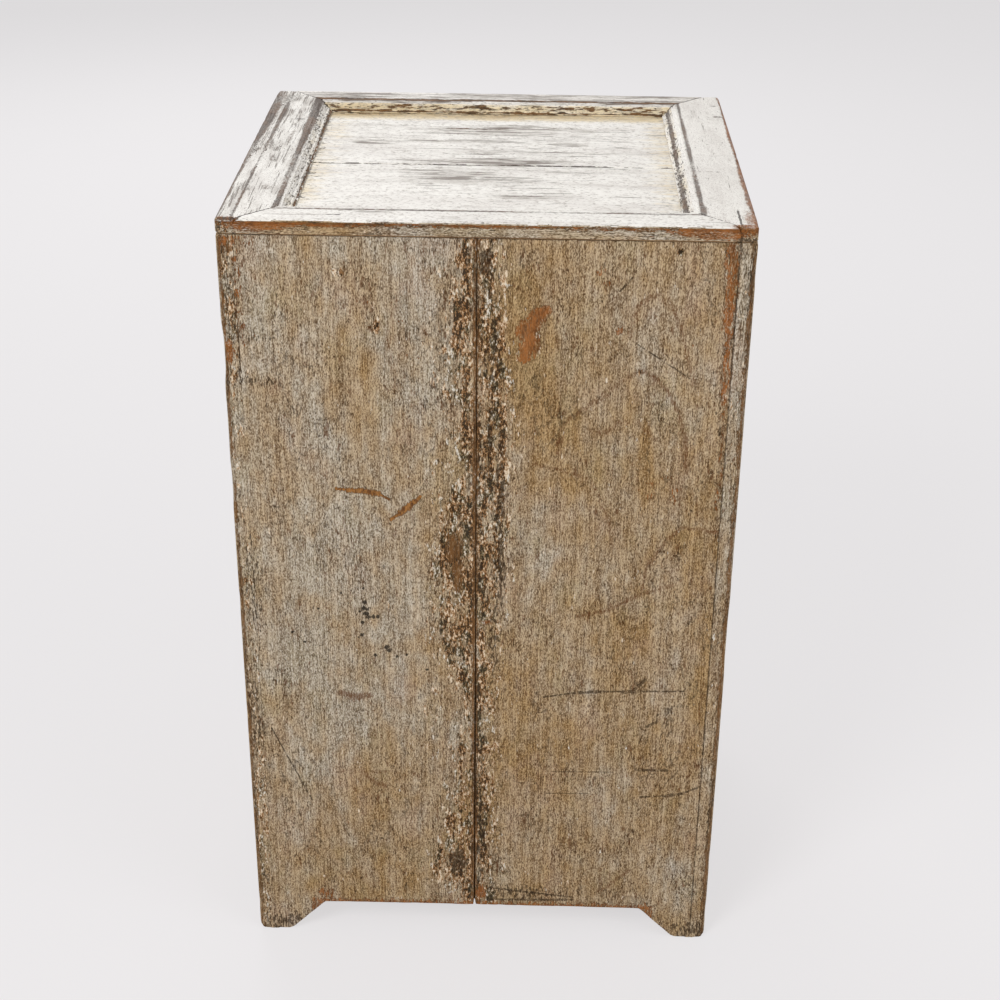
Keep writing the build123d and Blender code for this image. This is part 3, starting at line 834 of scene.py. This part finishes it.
# Warmer and cooler places on the back, as in the patches: ochre stains, and grey where it is below 0
BACK_TINTS = [
    (26, 540, 18, 110, 0.3), (30, 370, 22, 90, 0.3), (108, 560, 22, 54, 0.65), (92, 650, 18, 32, 0.32),
    (55, 320, 16, 10, 0.25), (40, 690, 26, 24, -0.4), (44, 270, 24, 44, 0.3), (182, 640, 20, 40, -0.15),
    (204, 640, 7, 10, -0.4), (203, 612, 7, 12, -0.45), (150, 380, 44, 70, -0.1), (70, 120, 64, 70, 0.25),
    (12, 270, 7, 26, 0.35), (15, 150, 9, 60, 0.35), (130, 50, 34, 18, 0.3), (-20, 600, 18, 80, 0.2),
    (-47, 565, 12, 44, 0.42), (-75, 640, 44, 40, 0.15), (-55, 532, 32, 20, 0.3), (-131, 497, 6, 40, 0.6),
    (-147, 475, 14, 12, 0.35), (-172, 427, 24, 12, 0.38), (-146, 412, 12, 12, 0.35),
    (-132, 388, 9, 18, 0.35), (-120, 300, 30, 64, 0.18), (-110, 180, 54, 64, 0.18),
    (-60, 110, 44, 44, 0.18), (-190, 260, 8, 74, 0.35), (-110, 515, 14, 10, -0.3),
    (-150, 592, 28, 22, -0.2), (-140, 545, 16, 16, -0.2), (-60, 400, 34, 60, -0.12),
    (-178, 60, 26, 26, -0.4), (-165, 240, 14, 34, -0.25),
]

# Edges of the flaked band along the back seam: height, and how far left and right it reaches
SEAM_EDGES = [
    (36, 14, -14), (50, 30, -16), (70, 42, -14), (95, 44, -12), (120, 34, -10), (150, 28, -8),
    (200, 22, -6), (250, 18, -6), (280, 22, -6), (310, 30, -8), (335, 40, -8), (360, 38, -12),
    (390, 40, -16), (420, 38, -16), (445, 31, -14), (470, 26, -18), (500, 25, -20), (530, 23, -20),
    (560, 27, -18), (590, 31, -18), (615, 32, -16), (640, 24, -10), (690, 17, -8),
]

# Brown lines of the wood's figure under the paint: places along each, half width and strength
BROWN_LINES = [
    ([(-60, 504), (-64, 534), (-86, 551), (-103, 565), (-116, 576), (-125, 581)], 3.0, 0.5),
    ([(-125, 581), (-136, 575), (-146, 564), (-156, 545), (-163, 520), (-165, 490)], 2.6, 0.62),
    ([(-114, 610), (-119, 635), (-127, 643), (-135, 645), (-147, 636)], 3.0, 0.5),
    ([(-147, 636), (-156, 612), (-162, 588), (-167, 569)], 2.4, 0.56),
    ([(-84, 528), (-96, 524), (-108, 535), (-125, 534), (-138, 520)], 3.0, 0.5),
    ([(-39, 496), (-62, 491), (-88, 483), (-102, 449), (-108, 420)], 2.4, 0.5),
    ([(-197, 435), (-166, 440), (-153, 428), (-137, 401), (-134, 379)], 2.2, 0.58),
    ([(-160, 384), (-133, 374), (-105, 358), (-80, 351)], 2.4, 0.55),
    ([(108, 184), (97, 172), (88, 168)], 4.0, 0.6), ([(97, 184), (88, 184)], 3.0, 0.55),
    ([(-109, 80), (-111, 52)], 2.0, 0.55), ([(-112, 54), (-137, 79)], 2.0, 0.6),
    ([(-118, 76), (-119, 52)], 1.8, 0.5), ([(126, 268), (112, 265), (100, 266)], 3.6, 0.75),
    ([(118, 260), (108, 262)], 2.6, 0.6), ([(70, 640), (78, 600), (70, 560)], 3.4, 0.42),
    ([(58, 560), (64, 500), (60, 440)], 3.4, 0.36),
]

# Chip on the right plank, as the lines above
BARE_CHIP = [
    ([(-48, 631), (-43, 628)], 4.2, 1.0), ([(-42, 627), (-36, 616)], 6.4, 1.05),
    ([(-32, 615), (-36, 600)], 8.0, 1.0), ([(-32, 598), (-31, 590)], 4.6, 1.0),
]


def lines(points, rows):
    """Shares of the lines in the rows at points on the back."""
    total = np.zeros(len(points))
    place = points[:, (0, 2)] / MM
    for path, half, strength in rows:
        for start, end in zip(np.array(path, float), np.array(path[1:], float)):
            whole = end - start
            share = np.clip((place - start) @ whole / (whole @ whole), 0, 1)
            away = np.linalg.norm(place - start - share[:, None] * whole, axis=1)
            total = np.maximum(total, strength * rise(-away / half, -1.6, -0.4))
    return total


def patches(points, rows, axes=(0, 2), blend=np.maximum):
    """Shares of the patches in the rows at points, which lie on a face along those axes."""
    total = np.zeros(len(points))
    across, along = points[:, axes[0]], points[:, axes[1]]
    for x, z, half_x, half_z, strength in rows:
        away = np.hypot((across - x * MM) / half_x, (along - z * MM) / half_z) / MM
        total = blend(total, strength * rise(-away, -1.5, -0.5))
    return total


FLAKED_LEFT = 30 * MM
FLAKED_RIGHT = 24 * MM
DIRTY_HEIGHT = 70 * MM


def seam_band(across, points, seed):
    """Flaking on both sides of an open seam, at points that lie across from it."""
    spread = 0.75 + 0.5 * cloud(points, (20, 20, 70), seed)
    left = rise(-across / (FLAKED_LEFT * spread), -1.0, -0.3) * (across > 0)
    right = rise(across / (FLAKED_RIGHT * spread), -1.0, -0.3) * (across <= 0)
    return (left + right) * (0.3 + 0.5 * cloud(points, (9, 9, 45), seed + 1))


def back_band(points):
    """Flaking along the back seam, dark and bare in the middle, with loose chips beside it."""
    height = points[:, 2] / MM
    across = points[:, 0] / MM
    heights, left, right = np.array(SEAM_EDGES, float).T
    ragged_edge = 12 * (cloud(points, (7, 7, 26), 14) - 0.5)
    from_left = np.interp(height, heights, left) - across
    from_right = across - np.interp(height, heights, right)
    inside = np.minimum(from_left, from_right) + ragged_edge
    lumps = cloud(points, (5, 5, 24), 15)
    loose = 0.42 * rise(inside, -15, 0) * (0.45 + lumps)
    return np.maximum(loose, rise(inside, -4, 5) * (0.36 + 0.6 * lumps))


def raised(shares, name, values):
    """Makes the shares of one mark at least those values."""
    shares[name] = np.maximum(shares[name], values)


def near_floor(points):
    """Share of dirt from the floor."""
    return rise(-points[:, 2], -DIRTY_HEIGHT, -5 * MM)


def back_marks(points, normals):
    """Marks of the photographed face, on the planks and on the edges of the side boards."""
    seen = normals[:, 1] > 0.3
    shares = {name: patches(points, rows) * seen for name, rows in BACK_PATCHES.items()}
    raised(shares, "flake", back_band(points) * seen)
    right_of_seam = rise(-np.abs(points[:, 0] - BACK_SEAM + 14 * MM), -8 * MM, -3 * MM)
    streaky = cloud(points, (4, 4, 50), 12)
    high = rise(points[:, 2], 280 * MM, 360 * MM)
    raised(shares, "grime", right_of_seam * seen * high * rise(streaky, 0.3, 0.8) * 0.5)
    shares["grime"] += 0.3 * near_floor(points) * cloud(points, 25, 13)
    right_plank = rise(-points[:, 0], -BACK_SEAM - 4 * MM, -BACK_SEAM + 12 * MM)
    low = rise(-points[:, 2], -330 * MM, -60 * MM)
    tint = patches(points, BACK_TINTS, blend=np.add)
    shares["warm"] = np.maximum(0.25 + 0.16 * low, 0.62 * right_plank) + tint * (1 - 0.3 * right_plank)
    by_seam = rise(-np.abs(points[:, 0] - BACK_SEAM), -1.6 * MM, -1.3 * MM)
    closed_up = by_seam * rise(points[:, 2], 220 * MM, 420 * MM) * (0.6 + 0.4 * cloud(points, 30, 16))
    shares["dent"] = patches(points, BACK_DENTS) - 0.58 * closed_up
    shares["figure"] = lines(points, BROWN_LINES) * seen
    low_edge = rise(-points[:, 2], -42 * MM, -34 * MM) * (np.abs(points[:, 0]) < 160 * MM)
    raised(shares, "wear", 0.72 * low_edge * seen)
    raised(shares, "wear", lines(points, BARE_CHIP) * seen)
    lips = rise(-np.abs(points[:, 0] - BACK_SEAM), -3.4 * MM, -1.6 * MM)
    raised(shares, "edge", 0.8 * lips * seen)
    return shares


def side_marks(points, normals):
    """Marks of a side board: flakes by its seam, and its edge that shows beside the back."""
    band = seam_band(points[:, 1] - SIDE_SEAM, points, 21) * 0.9
    end = (normals[:, 1] > 0.5) & (points[:, 1] > BACK_Y - 4 * MM)
    photo_right = points[:, 0] < 0
    high = rise(points[:, 2], 540 * MM, 600 * MM)
    lumps = cloud(points, (50, 50, 90), 22)
    stained = rise(cloud(points, (60, 60, 110), 23), 0.5, 0.85)
    shares = {
        "flake": band + 0.25 * rise(lumps, 0.68, 0.9),
        "grime": 0.3 * near_floor(points) * cloud(points, 25, 24),
        "wear": 0 * lumps,
        "edge": 0 * lumps,
        "warm": 0.28 + 0.25 * lumps + 0.45 * stained,
    }
    shown = back_marks(points, normals)
    outer_half = rise(np.abs(points[:, 0]), 202 * MM, 208 * MM)
    end_flake = np.where(photo_right, 0.14, 0.32 + 0.14 * high) + 0.3 * (lumps - 0.5)
    raised(shown, "flake", end_flake)
    raised(shown, "grime", 0.2 * high * ~photo_right * rise(lumps, 0.3, 0.7))
    raised(shown, "edge", outer_half * np.where(photo_right, 0.75, 0.5))
    cool = 0.22 + 0.3 * rise(-points[:, 2], -300 * MM, -200 * MM)
    shown["warm"] = np.where(photo_right, cool, shown["warm"])
    dent = shown["dent"] * (points[:, 1] > BACK_Y - 12 * MM)
    shares = {name: np.where(end, shown[name], values) for name, values in shares.items()}
    return shares | {"dent": dent}


def front_marks(points, normals):
    """Marks of the drawer fronts and of the boards about them."""
    lumps = cloud(points, (90, 40, 40), 31)
    stained = rise(cloud(points, (120, 60, 50), 32), 0.45, 0.8)
    return {
        "flake": 0.3 * rise(lumps, 0.55, 0.9),
        "grime": 0.3 * near_floor(points) * cloud(points, 25, 33),
        "warm": 0.26 + 0.25 * lumps + 0.4 * stained,
    }


# How each rail of the top has aged. Its stripes, bare lines and worn lines run along the moulding, each given
# as the distance out from the opening at the near and the far end, the half width at both, and the strength.
RAILS = {
    "top_rail_right": {
        "stripes": [(12.3, 12.3, 2.2, 3.4, 1.0), (43, 40, 1.0, 2.0, 0.75), (55.5, 52, 1.6, 6.0, 0.95)],
        "bare_lines": [(0.8, 0.8, 1.0, 1.2, 0.75)],
        "worn_lines": [],
        "shares": {"speckle": 0.75, "flake": 0.04, "cream": 0.3, "age": 0.72, "edge": 1.0},
    },
    "top_rail_left": {
        "stripes": [(15, 15, 2.1, 1.3, 0.95), (3, 5, 1.8, 1.3, 0.9)],
        "bare_lines": [],
        "worn_lines": [(56, 56, 4.4, 2.6, 0.9)],
        "shares": {"speckle": 0.55, "flake": 0.06, "cream": 0.4, "age": 0.15, "edge": 0.5},
    },
    "top_rail_front": {
        "stripes": [],
        "bare_lines": [(15.2, 15.2, 2.6, 2.6, 1.0), (0.8, 0.8, 0.8, 0.8, 0.8), (6, 6, 1.8, 1.8, 0.5)],
        "worn_lines": [],
        "shares": {"speckle": 0.5, "flake": 0.3, "cream": 0.8, "age": 0.7, "edge": 0.5},
    },
    "top_rail_back": {
        "stripes": [(15, 15, 1.6, 1.6, 0.75)],
        "bare_lines": [],
        "worn_lines": [],
        "shares": {"speckle": 0.2, "flake": 0.06, "cream": 0.3, "age": 0.2, "edge": 0.2},
    },
}

# Patches on the upper faces of the rails: middle, half sizes and strength, in millimetres across and along
RAIL_PATCHES = {
    "stripe": [
        (185, 30, 4, 14, 0.5), (178, -32, 3, 26, 0.48), (180, 110, 6, 8, 0.45), (196, -160, 14, 18, 0.5),
        (-203, -118, 5, 3, 0.7), (-202, -155, 5, 2, 0.6), (-180, 50, 14, 2, 0.45),
        (-170, 150, 4, 12, 0.6),
    ],
    "wear": [(-206, 168, 7, 24, 0.6), (-200, 187, 14, 4, 0.8), (202, 186, 10, 4, 0.5)],
    "crevice": [(201, 187, 10, 2.0, 1.2), (177, -90, 5, 2, 0.8), (119, 176, 9, 1.6, 0.6)],
    "dent": [(201, 187.4, 10, 1.8, 1.4)],
}

# Patches on the outer faces of the frame, as on the back
FRAME_PATCHES = {
    "grime": [
        (200, 701, 11, 2, 0.9), (-196, 694, 1.6, 9, 1.0), (204, 694, 6, 5, 0.5), (-203, 690, 7, 2.5, 0.9),
    ],
    "wear": [
        (178, 697, 26, 5, 0.95), (130, 699, 50, 3, 0.6), (-176, 697, 34, 6, 0.9), (-204, 699, 7, 5, 0.8),
        (0, 700.5, 210, 2.0, 0.66),
    ],
    "flake": [(204, 694, 7, 6, 0.5), (-203, 692, 7, 4, 0.3)],
}


def from_opening(points):
    """Distance out from the edge of the frame's opening, over the rails."""
    return np.maximum(np.abs(points[:, 0]) - OPENING_X, np.abs(points[:, 1]) - OPENING_Y)


def rail_marks(node):
    """Marks of one rail of the top frame."""
    rail = RAILS[node]
    share = rail["shares"]

    def marks(points, normals):
        x, y, z = points.T
        out = from_opening(points) / MM
        far = rise(-y, -BACK_Y, BACK_Y)
        along = cloud(points, (26, 26, 200), 41)

        def bands(rows):
            total = np.zeros(len(points))
            for near_middle, far_middle, near_half, far_half, strength in rows:
                middle = near_middle + (far_middle - near_middle) * far
                half = (near_half + (far_half - near_half) * far) * (0.6 + 0.8 * along)
                total = np.maximum(total, strength * rise(-np.abs(out - middle) / half, -1.7, -0.5))
            return total

        photo_left = x > 0
        top_face = normals[:, 2] > 0.2
        outer = ~top_face & (out > 25)
        lumps = cloud(points, (28, 28, 200), 42)
        bevel = rise(-out, -9.5, -7.5)
        arris = rise(z, TOP_Z - 6.5 * MM, TOP_Z - 3.5 * MM)
        at_mitre = np.abs(np.abs(x) - OPENING_X - np.abs(y) + OPENING_Y)
        mitre = rise(-at_mitre, -1.6 * MM, -0.4 * MM) * (0.4 + 0.6 * along)
        crack = rise(-np.abs(x + INNER_X), -1.5 * MM, -0.5 * MM) * rise(y, 120 * MM, 170 * MM) * ~photo_left
        shown = {name: patches(points, rows) * outer for name, rows in FRAME_PATCHES.items()}
        above = {name: patches(points, rows, (0, 1)) * top_face for name, rows in RAIL_PATCHES.items()}
        peeled = np.maximum(0.2 * rise(lumps, 0.7, 0.9) + 0.06 * outer, shown["flake"])
        faded = 0.6 + 0.4 * rise(cloud(points, (40, 40, 200), 43), 0.2, 0.6)
        stripe = bands(rail["stripes"]) * top_face * faded
        worn = np.maximum(outer * arris * (0.25 + 0.35 * lumps), bands(rail["worn_lines"]) * top_face)
        cracked = np.maximum(0.95 * mitre, 0.9 * crack) * top_face
        specks = 0.25 * rise(lumps, 0.5, 0.9) + 2.2 * stripe * (1 - stripe)
        return {
            "stripe": np.maximum(stripe, above["stripe"]),
            "speckle": share["speckle"] * bevel + specks,
            "border": share["cream"] * bevel,
            "aged": share["age"] * (0.5 + 0.5 * lumps + 0.5 * far) * (1 - 0.7 * bevel),
            "flake": np.maximum(share["flake"] * bevel + peeled, bands(rail["bare_lines"]) * top_face),
            "grime": np.maximum(0.2 * outer * lumps, shown["grime"]),
            "warm": 0.24 + 0.3 * lumps,
            "wear": np.maximum(np.maximum(worn, above["wear"]), shown["wear"]),
            "edge": outer * arris * (0.85 + 0.4 * lumps),
            "edge_share": share["edge"],
            "crevice": np.maximum(cracked, above["crevice"]),
            "dent": above["dent"],
        }

    return marks


# Older, greyer places on the panel, and brown ones, as on the rails
PANEL_AGE = [
    (10, 3, 62, 12, 1.05), (0, 54, 54, 16, 0.9), (-22, -91, 44, 20, 1.0), (100, -52, 28, 7, 0.9),
    (-67, -52, 20, 6, 0.9), (-25, 98, 20, 6, 0.8), (40, -70, 60, 24, 0.7), (-10, 20, 90, 70, 0.5),
    (0, -84, 150, 26, 0.5),
]
PANEL_FLAKES = [(16, -99, 34, 2.2, 0.6), (-60, -104, 30, 2, 0.4)]


def panel_marks(points, normals):
    """Marks of the two boards of the sunk panel."""
    x, y = points[:, 0], points[:, 1]
    inside = -from_opening(points) / MM
    lumps = cloud(points, (60, 25, 60), 51)
    far = rise(-y, OPENING_Y - 32 * MM, OPENING_Y - 8 * MM)
    by_side = rise(np.abs(x), OPENING_X - 44 * MM, OPENING_X)
    seam = rise(-np.abs(y - PANEL_SEAM), -2.2 * MM, -0.8 * MM)
    by_foot = 0.4 * rise(-inside, -9, -3) * lumps * (y < 0)
    return {
        "border": np.maximum(0.7 * by_side * (0.4 + 0.6 * lumps), far * (0.8 + 0.4 * lumps)),
        "aged": 0.1 + patches(points, PANEL_AGE, axes=(0, 1)),
        "speckle": 0.6 * rise(-inside, -12, -2) * (x > 0) + 0.15 * rise(lumps, 0.5, 0.9),
        "stripe": np.zeros(len(points)),
        "flake": np.maximum(by_foot, patches(points, PANEL_FLAKES, axes=(0, 1))),
        "crevice": 0.7 * seam * (0.4 + 0.6 * lumps),
        "dent": -0.5 * seam * lumps,
    }


UP = (0, 0, 1)
TOWARDS_BACK = (0, 1, 0)
TOWARDS_FRONT = (0, -1, 0)


def walls():
    for seed, plank in enumerate(("left", "right"), 100):
        coats = [(BACK_PAINT, facing(TOWARDS_BACK, -0.5)), (BARE_UPRIGHT, everywhere)]
        weathered(f"back_plank_{plank}", "carcase", BACK_CELL, coats, back_marks, seed)
    for seed, (side, way) in enumerate((("left", -1), ("right", 1)), 110):
        coats = [
            (BACK_PAINT, facing(TOWARDS_BACK, 0.75)),
            (SIDE_PAINT, facing((way, 0, 0), -0.5)),
            (BARE_UPRIGHT, everywhere),
        ]
        for place in ("front", "back"):
            node = f"side_{side}_{place}"
            weathered(node, "carcase", SIDE_CELL, coats, side_marks, seed)


def top():
    # Upward faces take the white top paint and upright outer faces the grey wall paint: partly bleached and
    # dirty paint, partly painted light on the top and painted shade on the sides
    for seed, place in enumerate(("front", "back"), 120):
        node = f"top_rail_{place}"
        coats = [(LONG_PAINT, on_outer_edge), (TOP_LONG, facing(UP, -0.3)), (BARE_LONG, everywhere)]
        weathered(node, "carcase", RAIL_CELL, coats, rail_marks(node), seed)
        coats = [(TOP_LONG, facing(UP, -0.3)), (BARE_LONG, everywhere)]
        weathered(f"top_panel_{place}", "carcase", PANEL_CELL, coats, panel_marks, seed + 5)
    for seed, side in enumerate(("left", "right"), 130):
        node = f"top_rail_{side}"
        coats = [(CROSS_PAINT, on_outer_edge), (TOP_CROSS, facing(UP, -0.3)), (BARE_CROSS, everywhere)]
        weathered(node, "carcase", RAIL_CELL, coats, rail_marks(node), seed)


def all_edges(points):
    return np.full(len(points), 0.7)


def front():
    coats = [(LONG_PAINT, facing(TOWARDS_FRONT, 0.3)), (BARE_LONG, everywhere)]
    members = ["front_rail_top", "divider_1", "divider_2", "divider_3", "front_apron"]
    for seed, node in enumerate(members, 140):
        weathered(node, "carcase", FRONT_CELL, coats, front_marks, seed)
    for row in range(1, 5):
        node = f"drawer_{row}_front"
        place = f"drawer_{row}"
        weathered(node, place, FRONT_CELL, coats, front_marks, 150 + row, all_edges)


# Ring pulls

PLATE_PROFILE = [
    (19.0, 0.0), (19.0, 0.3), (18.6, 0.7), (17.6, 1.05), (16.8, 0.95), (16.2, 0.75), (15.6, 0.95),
    (14.6, 1.1), (9.0, 1.2), (7.9, 1.3), (7.2, 1.65), (6.2, 1.8), (1.8, 1.8), (1.8, 0.0),
]
TURNED_STEPS = 96
RING_RADIUS = 15.0
RING_WIRE = 1.45
RING_UNEVENNESS = 0.07
EYE_RADIUS = 3.3
EYE_WIRE = 1.05
EYE_UNEVENNESS = 0.05
EYE_STEPS = (48, 14)  # along the wire and around it
DRAWER_FRONT = 16.0
LEG_LENGTH = 14.0
LEG_WIDTHS = (1.5, 1.5, 1.5, 1.8, 2.0, 1.8, 0.8)
LEG_THICKNESS = (1.4, 1.4, 1.4, 0.75, 0.5, 0.45, 0.25)
QUARTER_TURN = math.radians(90)


def grid_mesh(name, rings, closed):
    """Mesh over rings of points that each close; the rings close on each other too if asked."""
    count, steps = rings.shape[:2]
    index = np.arange(count * steps).reshape(count, steps)
    following = np.roll(index, -1, axis=0)
    if not closed:
        index = index[:-1]
        following = following[:-1]
    corners = (index, np.roll(index, -1, axis=1), np.roll(following, -1, axis=1), following)
    faces = np.stack(corners, axis=-1).reshape(-1, 4)
    mesh = bpy.data.meshes.new(name)
    mesh.from_pydata((rings.reshape(-1, 3) * MM).tolist(), [], faces.tolist())
    mesh.polygons.foreach_set("use_smooth", np.ones(len(faces), bool))
    return mesh


def turned(name, profile):
    """Round piece from a closed profile of radius and height."""
    turns = np.linspace(0, 2 * np.pi, TURNED_STEPS, endpoint=False)
    rings = np.array([[(r * np.cos(a), r * np.sin(a), h) for a in turns] for r, h in profile])
    return grid_mesh(name, rings, closed=True)


def bent_wire(name, radius, wire, unevenness, steps=72, around=16):
    """Loop of hammered wire about the origin, a little uneven in its thickness."""
    turns = np.linspace(0, 2 * np.pi, steps, endpoint=False)
    section = np.linspace(0, 2 * np.pi, around, endpoint=False)
    rings = []
    for turn in turns:
        thick = wire * (1 - unevenness * (0.5 + 0.5 * np.sin(5 * turn) * np.cos(3 * turn + 1)))
        reach = radius + thick * np.cos(section)
        rings.append(np.stack((reach * np.cos(turn), reach * np.sin(turn), thick * np.sin(section)), 1))
    return grid_mesh(name, np.array(rings), closed=True)


def pin_leg(name, way):
    """One leg of the split pin: through the drawer front, then bent flat and tapering along it."""
    path = [(0.0, 0.0), (0.0, -6.0), (0.0, -DRAWER_FRONT)]
    bent = [(0.5, 0.8), (2.0, 1.0), (LEG_LENGTH * 0.5, 0.9), (LEG_LENGTH, 0.6)]
    path += [(reach, -DRAWER_FRONT - beyond) for reach, beyond in bent]
    section = np.linspace(0, np.pi * 2, 16, endpoint=False)
    rings = []
    for index, (reach, depth) in enumerate(path):
        before = np.array(path[max(index - 1, 0)])
        after = np.array(path[min(index + 1, len(path) - 1)])
        heading = (after - before) / np.linalg.norm(after - before)
        side = np.array((-heading[1], heading[0]))
        offsets = np.sin(section)[:, None] * side * LEG_THICKNESS[index]
        y = way * (reach + offsets[:, 0])
        rings.append(np.stack((np.cos(section) * LEG_WIDTHS[index], y, depth + offsets[:, 1]), 1))
    rings = np.array(rings)
    return grid_mesh(name, rings if way < 0 else rings[:, ::-1], closed=False)


def stood_up(mesh, x, y, z, turn=Matrix.Identity(4)):
    """Turns a piece made flat on the XY plane so that it faces the front, at that place."""
    mesh.transform(Matrix.Translation((x, y, z)) @ Matrix.Rotation(QUARTER_TURN, 4, "X") @ turn)
    mesh.update()


def brass_piece(name, mesh, body, *nodes):
    """Piece of a pull that rides a body, in place of the CAD nodes named."""
    mesh.materials.append(BRASS)
    piece = put_in(name, mesh)
    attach(piece, body)
    for node in nodes:
        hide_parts(node)


def pulls():
    for row in range(1, 5):
        drawer = f"drawer_{row}"
        low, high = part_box(f"{drawer}_pull_plate")
        face = high.y
        middle = (low.z + high.z) / 2
        plate = turned(f"pull_plate_{row}", PLATE_PROFILE)
        stood_up(plate, 0, face, middle)
        brass_piece(f"pull_plate_{row}", plate, drawer, f"{drawer}_pull_plate")

        ring_low, ring_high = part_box(f"{drawer}_pull_ring")
        ring_middle = (ring_low + ring_high) / 2
        ring = bent_wire(f"pull_ring_{row}", RING_RADIUS, RING_WIRE, RING_UNEVENNESS)
        stood_up(ring, ring_middle.x, ring_middle.y, ring_middle.z)
        brass_piece(f"pull_ring_{row}", ring, f"ring_{row}", f"{drawer}_pull_ring")

        eye = bent_wire(f"pull_pin_{row}", EYE_RADIUS, EYE_WIRE, EYE_UNEVENNESS, *EYE_STEPS)
        stood_up(eye, 0, ring_middle.y, middle, Matrix.Rotation(QUARTER_TURN, 4, "Y"))
        brass_piece(f"pull_pin_{row}", eye, drawer, f"{drawer}_pull_pin")
        for way, side in ((-1, "upper"), (1, "lower")):
            leg = pin_leg(f"pull_pin_{row}_{side}", way)
            stood_up(leg, 0, face, middle)
            brass_piece(f"pull_pin_{row}_{side}", leg, drawer)


# Inside pieces keep their solids, with softened edges

EDGE_SOFTENING = 0.7 * MM


def inside():
    finishes = {
        "top_batten": BARE_CROSS,
        "runners_left": BARE_CROSS,
        "runners_right": BARE_CROSS,
        "kickers": BARE_CROSS,
        "bottom_board": BARE_LONG,
    }
    for row in range(1, 5):
        finishes[f"drawer_{row}_side_left"] = BARE_CROSS
        finishes[f"drawer_{row}_side_right"] = BARE_CROSS
        finishes[f"drawer_{row}_back"] = BARE_LONG
        finishes[f"drawer_{row}_bottom"] = BARE_LONG
    for node, material in finishes.items():
        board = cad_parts[node]
        for place in board.material_slots:
            place.material = material
        edges = board.modifiers.new("soft_edges", "BEVEL")
        edges.width = EDGE_SOFTENING
        edges.segments = 2
        edges.limit_method = "ANGLE"


# Studio

FLOOR_HALF = 60.0
CAMERA_PLACE = (-0.0371, 1.5129, 1.1531)
CAMERA_YAW = 1.0466  # degrees from straight towards the front
CAMERA_PITCH = 27.5524  # degrees down
CAMERA_ROLL = 0.6135
LENS = 64.92
LAMPS = {
    "key_lamp": ((1.4, 2.2, 2.5), 1.3, 52.0),
    "fill_lamp": ((-2.2, 1.4, 1.7), 2.2, 24.0),
    "front_lamp": ((0.6, -2.6, 2.0), 2.2, 36.0),
}
LAMPS_AIM = Vector((0.0, 0.0, 0.4))
SKY_STRENGTH = 0.4
FLOOR_GLOW = 0.75  # share of the floor that is seen at its own colour, whatever falls on it
BACKDROP = FLOOR_GLOW + (1 - FLOOR_GLOW) * SKY_STRENGTH  # as bright as the floor far away


def studio_floor():
    """Pale floor that keeps the shadow of the chest."""
    ways = ((-1, -1), (1, -1), (1, 1), (-1, 1))
    corners = [(x * FLOOR_HALF, y * FLOOR_HALF, 0) for x, y in ways]
    mesh = bpy.data.meshes.new("studio_floor")
    mesh.from_pydata(corners, [], [(0, 1, 2, 3)])
    floor = put_in("studio_floor", mesh)
    finish = Finish("studio_pale")
    plain = {"Base Color": STUDIO_PALE, "Roughness": 0.95, "Specular IOR Level": 0.0}
    finish.feed(finish.shader.inputs, plain)
    lit = Value(finish, finish.shader.outputs[0])
    light = finish.made("ShaderNodeEmission", {"Color": STUDIO_PALE, "Strength": 1.0})
    path = finish.all_made("ShaderNodeLightPath", {})
    seen = path["Is Camera Ray"] | (path["Is Glossy Ray"] | path["Is Transmission Ray"])
    both = finish.made("ShaderNodeMixShader", {0: seen * FLOOR_GLOW, 1: lit, 2: light})
    finish.feed(finish.tree.nodes["Material Output"].inputs, {"Surface": both})
    mesh.materials.append(finish.material)


def studio_lamps():
    """Soft lamps aimed at the chest, and a pale sky."""
    for name, (place, size, power) in LAMPS.items():
        lamp = bpy.data.lights.new(name, "AREA")
        lamp.shape = "DISK"
        lamp.size = size
        lamp.energy = power
        holder = put_in(name, lamp)
        holder.location = place
        holder.rotation_euler = (LAMPS_AIM - Vector(place)).to_track_quat("-Z", "Y").to_euler()
    world = bpy.data.worlds.new("studio_sky")
    world.use_nodes = True
    recipe = Recipe(world.node_tree)
    path = recipe.all_made("ShaderNodeLightPath", {})
    seen = path["Is Camera Ray"] | path["Is Glossy Ray"]
    sky = {"Color": STUDIO_PALE, "Strength": seen * (BACKDROP - SKY_STRENGTH) + SKY_STRENGTH}
    recipe.feed(world.node_tree.nodes["Background"].inputs, sky)
    bpy.context.scene.world = world


def studio_camera():
    """Camera at the viewing angle of the photograph."""
    yaw, pitch, roll = [math.radians(angle) for angle in (CAMERA_YAW, CAMERA_PITCH, CAMERA_ROLL)]
    ahead = Vector((math.sin(yaw) * math.cos(pitch), -math.cos(yaw) * math.cos(pitch), -math.sin(pitch)))
    level = ahead.to_track_quat("-Z", "Y").to_matrix().to_4x4()
    data = bpy.data.cameras.new("photo_camera")
    data.lens = LENS
    camera = put_in("photo_camera", data)
    camera.matrix_world = Matrix.Translation(CAMERA_PLACE) @ level @ Matrix.Rotation(roll, 4, "Z")
    bpy.context.scene.camera = camera


walls()
top()
front()
pulls()
inside()
studio_floor()
studio_lamps()
studio_camera()
bpy.context.scene.view_settings.view_transform = "Standard"
